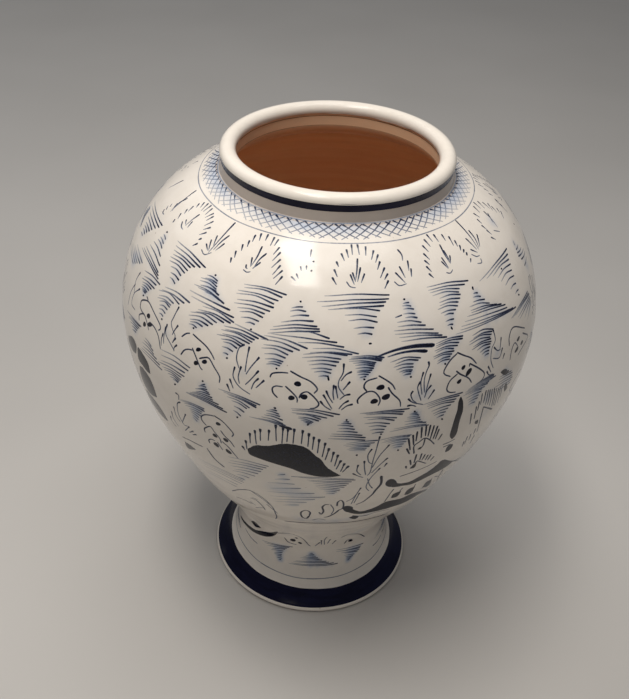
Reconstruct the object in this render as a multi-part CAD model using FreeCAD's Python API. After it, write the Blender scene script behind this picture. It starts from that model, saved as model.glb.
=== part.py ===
import FreeCAD, Part
import math
import os

# Footed baluster vase of tin-glazed earthenware, in millimetres.
# The vase axis is Z, +Z up, and the origin is the centre of the circle
# that the foot ring stands on.

# ---------------------------------------------------------------- sizes
HEIGHT = 320.0            # foot to the top of the lip
BELLY_R = 124.4           # widest outside radius, glaze included
WALL = 6.7                # fired clay wall
COAT = 0.8                # tin glaze on the outside
SEAM = 0.7                # slip in each seam

FOOT_R = 71.45            # outside of the foot flange
FOOT_RING_IN_R = 61.5     # inside of the standing ring
FOOT_HOLLOW_R = 46.6      # hollow under the foot, at its top
FOOT_TOP_Z = 38.0         # seam between foot and bowl
FLOOR_UNDER_Z = 33.5      # underside of the bowl's spigot
FLOOR_TOP_Z = 45.5        # inside floor of the vase

BELLY_SEAM_Z = 200.0      # seam between bowl and shoulder
BELLY_LAP = 6.0           # height of the lap at that seam

MOUTH_R = 57.4            # inside of the collar
COLLAR_Z = 306.3          # seam between shoulder and collar
COLLAR_TOP_Z = 312.0      # seam between collar and lip
COLLAR_R = 65.1           # outside of the collar at its foot

LIP_Z = 315.75            # centre of the rolled lip's section
LIP_MID_R = 60.4          # radius of that centre
LIP_HALF_W = 4.6          # half width of the lip, glaze included
LIP_HALF_H = 4.25         # half height of the lip, glaze included
LIP_COAT = 0.7            # glaze on the lip

FOOT_EDGE_Z0 = 0.6        # bare clay below, cream edge above
FOOT_BAND_Z0 = 3.5        # lower edge of the navy foot band
FOOT_BAND_Z1 = 11.7       # upper edge of the navy foot band
COLLAR_BAND_Z0 = 311.5    # lower edge of the navy collar band
COLLAR_BAND_Z1 = 316.0    # upper edge of the navy collar band

# outside of the glaze, from the foot edge to the foot of the collar
OUTER = [
    (70.75, 0.6), (FOOT_R, 1.75), (70.85, 3.1), (69.2, 4.3), (65.8, 6.5),
    (60.0, 11.6), (56.7, 18.6), (55.1, 28.0), (54.9, 38.0), (56.5, 51.0),
    (61.2, 65.0), (69.9, 80.5), (80.4, 97.0), (91.3, 115.5), (101.3, 136.0),
    (110.8, 157.0), (118.3, 179.0), (122.9, 200.0), (BELLY_R, 218.0),
    (123.3, 234.0), (119.0, 252.0), (110.5, 270.0), (97.6, 286.0),
    (82.0, 297.8), (COLLAR_R, COLLAR_Z + 0.2),
]


# ------------------------------------------------------------- helpers
def V(r, z):
    return FreeCAD.Vector(r, 0.0, z)


def spline(points):
    """Cubic through (r, z) points, with chord-length parameters."""
    pts = [V(*p) for p in points]
    par = [0.0]
    for a, b in zip(pts, pts[1:]):
        par.append(par[-1] + math.sqrt((b - a).Length))
    c = Part.BSplineCurve()
    c.interpolate(Points=pts, Parameters=par)
    return c


def u_at(curve, z):
    """Parameter of the point at height z on a curve that rises all the way."""
    a, b = curve.FirstParameter, curve.LastParameter
    if z <= curve.value(a).z:
        return a
    if z >= curve.value(b).z:
        return b
    for _ in range(60):
        m = 0.5 * (a + b)
        if curve.value(m).z < z:
            a = m
        else:
            b = m
    return 0.5 * (a + b)


def offset(curve, d, z0, z1, n):
    """Points at distance d inside a curve, between two heights on it."""
    out = []
    a, b = u_at(curve, z0), u_at(curve, z1)
    for i in range(n + 1):
        u = a + (b - a) * i / n
        p = curve.value(u)
        t = curve.tangent(u)[0]
        out.append((p.x - d * t.z, p.z + d * t.x))
    return out


def part_of(curve, z0, z1):
    return Part.Edge(curve, u_at(curve, z0), u_at(curve, z1))


def at(curve, z):
    p = curve.value(u_at(curve, z))
    return (p.x, p.z)


def line(p, q):
    return Part.LineSegment(V(*p), V(*q)).toShape()


def chain(*points):
    return [line(p, q) for p, q in zip(points, points[1:])]


def lathe(edges):
    """Solid of revolution about Z of the region inside a closed outline."""
    wire = Part.Wire(Part.__sortEdges__(edges))
    face = Part.Face(wire)
    solid = face.revolve(FreeCAD.Vector(0, 0, 0), FreeCAD.Vector(0, 0, 1), 360)
    if solid.ShapeType != "Solid":
        solid = Part.Solid(solid)
    if solid.Volume < 0:
        solid.reverse()
    return solid


def ends(edge):
    a = edge.valueAt(edge.FirstParameter)
    b = edge.valueAt(edge.LastParameter)
    return (a.x, a.z), (b.x, b.z)


parts = {}

# ------------------------------------------------- the three long curves
outer = spline(OUTER)                                     # outside of the glaze
clay = spline(offset(outer, COAT, 0.6, 306.5, 90))        # outside of the clay
inner_pts = [(38.0, FLOOR_TOP_Z), (43.5, FLOOR_TOP_Z + 1.6), (47.6, FLOOR_TOP_Z + 6.0), (50.2, FLOOR_TOP_Z + 13.0)]
inner_pts += offset(outer, WALL + COAT, 68.0, 298.5, 60)
inner_pts += [(64.6, 299.4), (59.6, 302.6), (MOUTH_R, COLLAR_Z - 0.2)]
inner = spline(inner_pts)                                 # inside of the clay

clay_lo = at(clay, 1.2)
clay_hi = at(clay, 305.4)

# ------------------------------------------------------------ fired clay
# foot: a hollow flared ring, open underneath, its standing ring bare
hollow = spline([(FOOT_RING_IN_R, 1.6), (60.2, 4.5), (54.0, 10.5), (49.6, 18.5), (47.2, 27.0), (FOOT_HOLLOW_R, FLOOR_UNDER_Z)])
foot_out = part_of(clay, 1.2, FOOT_TOP_Z)
fo0, fo1 = ends(foot_out)
foot = [foot_out]
foot += chain(fo1, (FOOT_HOLLOW_R, FOOT_TOP_Z), (FOOT_HOLLOW_R, FLOOR_UNDER_Z))
foot += [hollow.toShape()]
foot += chain((FOOT_RING_IN_R, 1.6), (FOOT_RING_IN_R + 1.4, 0.0), (fo0[0] - 1.2, 0.0), fo0)
parts["foot_pedestal"] = lathe(foot)

# slip between the foot and the spigot under the bowl
sp_r = FOOT_HOLLOW_R - SEAM
seam_top = FOOT_TOP_Z + SEAM
c0 = at(clay, FOOT_TOP_Z)
c1 = at(clay, seam_top)
slip = chain((sp_r, FLOOR_UNDER_Z), (FOOT_HOLLOW_R, FLOOR_UNDER_Z), (FOOT_HOLLOW_R, FOOT_TOP_Z), c0)
slip += [part_of(clay, FOOT_TOP_Z, seam_top)]
slip += chain(c1, (sp_r, seam_top), (sp_r, FLOOR_UNDER_Z))
parts["foot_slip_joint"] = lathe(slip)

# bowl: floor with a spigot below, wall up to the belly seam, where its
# inner half stands up as a tongue
lap_z = BELLY_SEAM_Z + BELLY_LAP
b_out = at(clay, BELLY_SEAM_Z)
b_in = at(inner, lap_z)
b_mid = 0.5 * (b_out[0] + at(inner, BELLY_SEAM_Z)[0])
bowl = chain((0.0, FLOOR_UNDER_Z), (sp_r, FLOOR_UNDER_Z), (sp_r, seam_top), c1)
bowl += [part_of(clay, seam_top, BELLY_SEAM_Z)]
bowl += chain(b_out, (b_mid, BELLY_SEAM_Z), (b_mid, lap_z), b_in)
bowl += [part_of(inner, FLOOR_TOP_Z, lap_z)]
bowl += chain((38.0, FLOOR_TOP_Z), (0.0, FLOOR_TOP_Z), (0.0, FLOOR_UNDER_Z))
parts["lower_belly"] = lathe(bowl)

# slip in the stepped belly seam
s_out = at(clay, BELLY_SEAM_Z + SEAM)
s_in = at(inner, lap_z + SEAM)
m2 = b_mid + SEAM
slip = chain(b_out, (b_mid, BELLY_SEAM_Z), (b_mid, lap_z), b_in)
slip += [part_of(inner, lap_z, lap_z + SEAM)]
slip += chain(s_in, (m2, lap_z + SEAM), (m2, BELLY_SEAM_Z + SEAM), s_out)
slip += [part_of(clay, BELLY_SEAM_Z, BELLY_SEAM_Z + SEAM)]
parts["belly_slip_joint"] = lathe(slip)

# shoulder: dome from the belly seam to the mouth
sh_out = part_of(clay, BELLY_SEAM_Z + SEAM, 305.4)
sh_in = part_of(inner, lap_z + SEAM, COLLAR_Z - 0.2)
so1 = ends(sh_out)[1]
land_r = COLLAR_R - COAT
land_z = COLLAR_Z - SEAM
si1 = ends(sh_in)[1]
shoulder = [sh_out, sh_in]
shoulder += chain(s_in, (m2, lap_z + SEAM), (m2, BELLY_SEAM_Z + SEAM), s_out)
shoulder += chain(so1, (land_r, land_z + 0.35), (si1[0] + 0.9, land_z + 0.35), si1)
parts["shoulder"] = lathe(shoulder)

# slip under the collar, bevelled inwards
slip = chain(si1, (si1[0] + 0.9, land_z + 0.35), (land_r, land_z + 0.35), (land_r, COLLAR_Z + 0.3),
             (si1[0] + 0.9, COLLAR_Z + 0.3), (MOUTH_R, COLLAR_Z + 0.05), si1)
parts["collar_slip_joint"] = lathe(slip)

# collar: short upright ring, slightly drawn in at its top
neck_r = COLLAR_R - COAT - 0.65
collar = chain((MOUTH_R, COLLAR_Z + 0.05), (si1[0] + 0.9, COLLAR_Z + 0.3), (land_r, COLLAR_Z + 0.3), (neck_r, COLLAR_TOP_Z),
               (MOUTH_R - 0.2, COLLAR_TOP_Z), (MOUTH_R, COLLAR_Z + 0.05))
parts["neck_collar"] = lathe(collar)

# slip between collar and lip
rim_seam = COLLAR_TOP_Z + 0.4
slip = chain((MOUTH_R - 0.2, COLLAR_TOP_Z), (neck_r, COLLAR_TOP_Z), (neck_r, rim_seam), (MOUTH_R - 0.2, rim_seam),
             (MOUTH_R - 0.2, COLLAR_TOP_Z))
parts["rim_slip_joint"] = lathe(slip)


# rolled lip: a round-topped roll, its section an oval standing on the collar
def oval(w, h, a):
    return (LIP_MID_R + w * math.cos(math.radians(a)), LIP_Z + h * math.sin(math.radians(a)))


cw, ch = LIP_HALF_W - LIP_COAT, LIP_HALF_H - LIP_COAT
gw, gh = LIP_HALF_W, LIP_HALF_H
A0, A1, A2 = -42.0, 4.0, 205.0        # bottom outside, band top, inside end of the glaze
lip_c0 = spline([oval(cw, ch, A0 + (A1 - A0) * i / 6.0) for i in range(7)])
lip_c1 = spline([oval(cw, ch, A1 + (A2 - A1) * i / 24.0) for i in range(25)])
lip_g1 = spline([oval(gw, gh, A1 + (A2 - A1) * i / 24.0) for i in range(25)])
roll = [lip_c0.toShape(), lip_c1.toShape()]
roll += chain(oval(cw, ch, A2), (MOUTH_R - 0.2, rim_seam), (neck_r, rim_seam), oval(cw, ch, A0))
parts["rim_roll"] = lathe(roll)


# ----------------------------------------------------------------- coats
def coat(z0, z1):
    """Shell between clay and glaze surface, between two heights."""
    o, c = part_of(outer, z0, z1), part_of(clay, z0, z1)
    (o0, o1), (k0, k1) = ends(o), ends(c)
    return lathe([o, c, line(k0, o0), line(k1, o1)])


parts["foot_edge_glaze"] = coat(1.2, FOOT_BAND_Z0)
parts["cobalt_foot_band"] = coat(FOOT_BAND_Z0, FOOT_BAND_Z1)
parts["foot_glaze"] = coat(FOOT_BAND_Z1, FOOT_TOP_Z)
parts["lower_belly_glaze"] = coat(FOOT_TOP_Z, BELLY_SEAM_Z)
parts["shoulder_glaze"] = coat(BELLY_SEAM_Z, 305.4)

# collar coat: from the shoulder coat's edge up to the navy band
o_end = at(outer, 305.4)
c_end = at(clay, 305.4)
t = (COLLAR_BAND_Z0 - (COLLAR_Z + 0.3)) / (COLLAR_TOP_Z - (COLLAR_Z + 0.3))
cb_r = land_r + (neck_r - land_r) * t
ob_r = cb_r + LIP_COAT
o_tail = part_of(outer, 305.4, 306.4)
ot1 = ends(o_tail)[1]
coll = [o_tail]
coll += chain(ot1, (ob_r, COLLAR_BAND_Z0), (cb_r, COLLAR_BAND_Z0), (land_r, COLLAR_Z + 0.3),
              (land_r, land_z + 0.35), c_end, o_end)
parts["collar_glaze"] = lathe(coll)

# navy band: over the top of the collar and the underside of the lip
gb = oval(gw, gh, A1)
band_out = spline([(ob_r, COLLAR_BAND_Z0), (ob_r - 0.02, COLLAR_BAND_Z0 + 0.7), oval(gw, gh, -22.0), gb])
band = [band_out.toShape(), lip_c0.toShape()]
band += chain((ob_r, COLLAR_BAND_Z0), (cb_r, COLLAR_BAND_Z0), (neck_r, COLLAR_TOP_Z), (neck_r, rim_seam), oval(cw, ch, A0))
band += chain(oval(cw, ch, A1), gb)
parts["cobalt_collar_band"] = lathe(band)

# white coat over the lip and a little way down inside it
rim = [lip_c1.toShape(), lip_g1.toShape()]
rim += chain(oval(cw, ch, A1), gb)
rim += chain(oval(cw, ch, A2), oval(gw, gh, A2))
parts["rim_glaze"] = lathe(rim)

# ------------------------------------------------------------------ write
os.makedirs("parts", exist_ok=True)
for name, shape in parts.items():
    assert shape.isValid(), name
    assert len(shape.Solids) == 1, name
    shape.exportStep(os.path.join("parts", name + ".step"))
    bb = shape.BoundBox
    print("%-20s %9.1f mm3  r %.1f  z %.2f..%.2f" % (name, shape.Volume, bb.XMax, bb.ZMin, bb.ZMax))
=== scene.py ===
import bpy
import math
import numpy as np
from mathutils import Matrix, Vector


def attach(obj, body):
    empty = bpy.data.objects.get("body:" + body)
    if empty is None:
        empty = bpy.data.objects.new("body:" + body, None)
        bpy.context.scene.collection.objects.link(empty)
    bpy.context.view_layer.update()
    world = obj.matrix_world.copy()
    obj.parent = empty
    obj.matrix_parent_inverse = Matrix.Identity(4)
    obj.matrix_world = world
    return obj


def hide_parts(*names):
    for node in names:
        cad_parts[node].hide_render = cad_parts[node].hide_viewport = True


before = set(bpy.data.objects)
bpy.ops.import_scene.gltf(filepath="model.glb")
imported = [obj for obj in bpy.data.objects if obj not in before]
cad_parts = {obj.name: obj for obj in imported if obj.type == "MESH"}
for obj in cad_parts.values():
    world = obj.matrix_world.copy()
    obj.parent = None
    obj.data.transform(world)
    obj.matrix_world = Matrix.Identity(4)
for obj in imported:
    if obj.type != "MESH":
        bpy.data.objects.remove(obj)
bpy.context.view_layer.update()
MM = 0.001

# ------------------------------------------------------------------ camera
cam_data = bpy.data.cameras.new("camera")
cam = bpy.data.objects.new("camera", cam_data)
bpy.context.scene.collection.objects.link(cam)
bpy.context.scene.camera = cam
pitch, yaw, roll = 0.675, -0.0646, 0.0310
fwd = Vector((math.sin(yaw) * math.cos(pitch), math.cos(yaw) * math.cos(pitch), -math.sin(pitch)))
right0 = Vector((math.cos(yaw), -math.sin(yaw), 0.0))
up0 = right0.cross(fwd)
right = right0 * math.cos(roll) + up0 * math.sin(roll)
up = up0 * math.cos(roll) - right0 * math.sin(roll)
m = Matrix.Identity(4)
for i in range(3):
    m[i][0], m[i][1], m[i][2] = right[i], up[i], -fwd[i]
m[0][3], m[1][3], m[2][3] = 0.0, -0.46088, 0.51920
cam.matrix_world = m
cam_data.sensor_width = 36.0
cam_data.lens = 45.55
cam_data.shift_x = 0.0549
cam_data.shift_y = 0.0465
cam_data.clip_start = 0.01
bpy.context.scene.view_settings.view_transform = "Standard"


# ----------------------------------------------------------------- profile
def natural(par, y):
    n = len(par)
    h = np.diff(par)
    a = np.zeros((n, n))
    b = np.zeros(n)
    a[0, 0] = a[-1, -1] = 1
    for i in range(1, n - 1):
        a[i, i - 1], a[i, i], a[i, i + 1] = h[i - 1], 2 * (h[i - 1] + h[i]), h[i]
        b[i] = 6 * ((y[i + 1] - y[i]) / h[i] - (y[i] - y[i - 1]) / h[i - 1])
    return np.linalg.solve(a, b)


def spline(points, n):
    """Cubic through points, n samples, with square-root chord parameters."""
    p = np.array(points, float)
    par = np.concatenate([[0], np.cumsum(np.sqrt(np.hypot(*np.diff(p, axis=0).T)))])
    t = np.linspace(0, par[-1], n)
    i = np.clip(np.searchsorted(par, t) - 1, 0, len(par) - 2)
    h = par[i + 1] - par[i]
    a, b = (par[i + 1] - t) / h, (t - par[i]) / h
    out = []
    for k in range(2):
        q = natural(par, p[:, k])
        out.append(a * p[i, k] + b * p[i + 1, k] + ((a**3 - a) * q[i] + (b**3 - b) * q[i + 1]) * h * h / 6)
    return np.stack(out, 1)


OUTER = [
    (70.75, 0.6), (71.45, 1.75), (70.85, 3.1), (69.2, 4.3), (65.8, 6.5),
    (60.0, 11.6), (56.7, 18.6), (55.1, 28.0), (54.9, 38.0), (56.5, 51.0),
    (61.2, 65.0), (69.9, 80.5), (80.4, 97.0), (91.3, 115.5), (101.3, 136.0),
    (110.8, 157.0), (118.3, 179.0), (122.9, 200.0), (124.4, 218.0),
    (123.3, 234.0), (119.0, 252.0), (110.5, 270.0), (97.6, 286.0),
    (82.0, 297.8), (65.1, 306.5),
]
outer = spline(OUTER, 4001)
oR, oZ = outer[:, 0], outer[:, 1]
oS = np.concatenate([[0], np.cumsum(np.hypot(np.diff(oR), np.diff(oZ)))])
tan = np.gradient(outer, axis=0)
tan /= np.linalg.norm(tan, axis=1)[:, None]
oNR, oNZ = tan[:, 1], -tan[:, 0]
S_END = oS[-1]


def s_of(z):
    return float(np.interp(z, oZ, oS))


def hand(th, s):
    """Slight unevenness of a hand-thrown wall, in mm along the normal."""
    fade = np.clip((s - 17.0) / 30.0, 0, 1) * np.clip((350.0 - s) / 30.0, 0, 1)
    a = np.radians(th)
    w = 0.045 * np.sin(s / 2.35 + 1.0 * a) + 0.14 * np.sin(s / 17.0 + 0.8 * np.sin(a + 0.6))
    w = w + 0.16 * np.sin(2 * a + 0.9 + s / 90.0) + 0.07 * np.sin(5 * a - s / 33.0)
    return fade * w * 0.8


def place(th, s, h=0.0):
    """Points in metres and unit normals for angle (degrees) and arc length (mm), lifted h mm."""
    th, s = np.broadcast_arrays(np.asarray(th, float), np.asarray(s, float))
    r, z = np.interp(s, oS, oR), np.interp(s, oS, oZ)
    nr, nz = np.interp(s, oS, oNR), np.interp(s, oS, oNZ)
    d = hand(th, s) + h
    a = np.radians(th)
    r2, z2 = r + nr * d, z + nz * d
    pos = np.stack([r2 * np.sin(a), -r2 * np.cos(a), z2], -1) * MM
    nor = np.stack([nr * np.sin(a), -nr * np.cos(a), nz], -1)
    return pos, nor


# ------------------------------------------------------------ mesh helpers
def new_object(name, verts, faces, smooth=True, normals=None, attrs=None, sharp=None):
    me = bpy.data.meshes.new(name)
    verts = np.asarray(verts, np.float32)
    me.vertices.add(len(verts))
    me.vertices.foreach_set("co", verts.ravel())
    loops = np.fromiter((v for f in faces for v in f), np.int32)
    sizes = np.fromiter((len(f) for f in faces), np.int32)
    me.loops.add(len(loops))
    me.loops.foreach_set("vertex_index", loops)
    me.polygons.add(len(sizes))
    me.polygons.foreach_set("loop_start", np.concatenate([[0], np.cumsum(sizes)[:-1]]).astype(np.int32))
    me.polygons.foreach_set("use_smooth", np.full(len(sizes), smooth))
    me.update(calc_edges=True)
    me.validate()
    for key, values in (attrs or {}).items():
        at = me.attributes.new(key, "FLOAT", "POINT")
        at.data.foreach_set("value", np.asarray(values, np.float32))
    if sharp is not None:
        me.set_sharp_from_angle(angle=math.radians(sharp))
    if normals is not None:
        me.normals_split_custom_set_from_vertices([tuple(n) for n in normals])
    ob = bpy.data.objects.new(name, me)
    bpy.context.scene.collection.objects.link(ob)
    return ob


def lathe(name, outline, nt=360, move=None, attr=None, sharp=32, pole0=False, pole1=False):
    """Closed solid of revolution of an outline of (r, z) in mm, going round it with the inside on the left.
    move(th, k) gives an (r, z) shift in mm for outline point k."""
    pts = np.array(outline, float)
    n = len(pts)
    th = np.arange(nt) * 360.0 / nt
    a = np.radians(th)
    rr = np.repeat(pts[:, 0][:, None], nt, 1)
    zz = np.repeat(pts[:, 1][:, None], nt, 1)
    if move is not None:
        dr, dz = move(th, pts)
        rr, zz = rr + dr, zz + dz
    verts = np.stack([rr * np.sin(a), -rr * np.cos(a), zz], -1).reshape(-1, 3) * MM
    faces = []
    last = n - 1 if (pole0 or pole1) else n
    for k in range(last):
        k2 = (k + 1) % n
        i = np.arange(nt)
        j = (i + 1) % nt
        q = np.stack([k * nt + i, k * nt + j, k2 * nt + j, k2 * nt + i], 1)
        faces.extend(q.tolist())
    if pole0 or pole1:
        # both ends of the outline are on the axis: close them with fans
        for k, flip in ((0, True), (n - 1, False)):
            c = len(verts)
            zc = float(zz[k].mean()) * MM
            verts = np.concatenate([verts, [[0, 0, zc]]])
            i = np.arange(nt)
            j = (i + 1) % nt
            if flip:
                q = np.stack([np.full(nt, c), k * nt + j, k * nt + i], 1)
            else:
                q = np.stack([np.full(nt, c), k * nt + i, k * nt + j], 1)
            faces.extend(q.tolist())
    at = {k: f for k, f in (attr or {}).items()}
    ob = new_object(name, verts, faces, attrs=at, sharp=sharp)
    return ob


def resample(points, step):
    """Adds points on the long runs of an outline so that none is longer than step; corners stay."""
    out = []
    for p, q in zip(points, points[1:]):
        d = math.hypot(q[0] - p[0], q[1] - p[1])
        k = max(1, int(round(d / step)))
        for i in range(k):
            t = i / k
            out.append((p[0] + (q[0] - p[0]) * t, p[1] + (q[1] - p[1]) * t))
    out.append(points[-1])
    return out


def along(curve, z0, z1, n):
    """n + 1 points of a dense (r, z) curve that rises, between two heights."""
    s = np.concatenate([[0], np.cumsum(np.hypot(*np.diff(curve, axis=0).T))])
    a, b = np.interp([z0, z1], curve[:, 1], s)
    t = np.linspace(a, b, n + 1)
    return list(zip(np.interp(t, s, curve[:, 0]), np.interp(t, s, curve[:, 1])))


def inset(d):
    return np.stack([oR - oNR * d, oZ - oNZ * d], 1)


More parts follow.
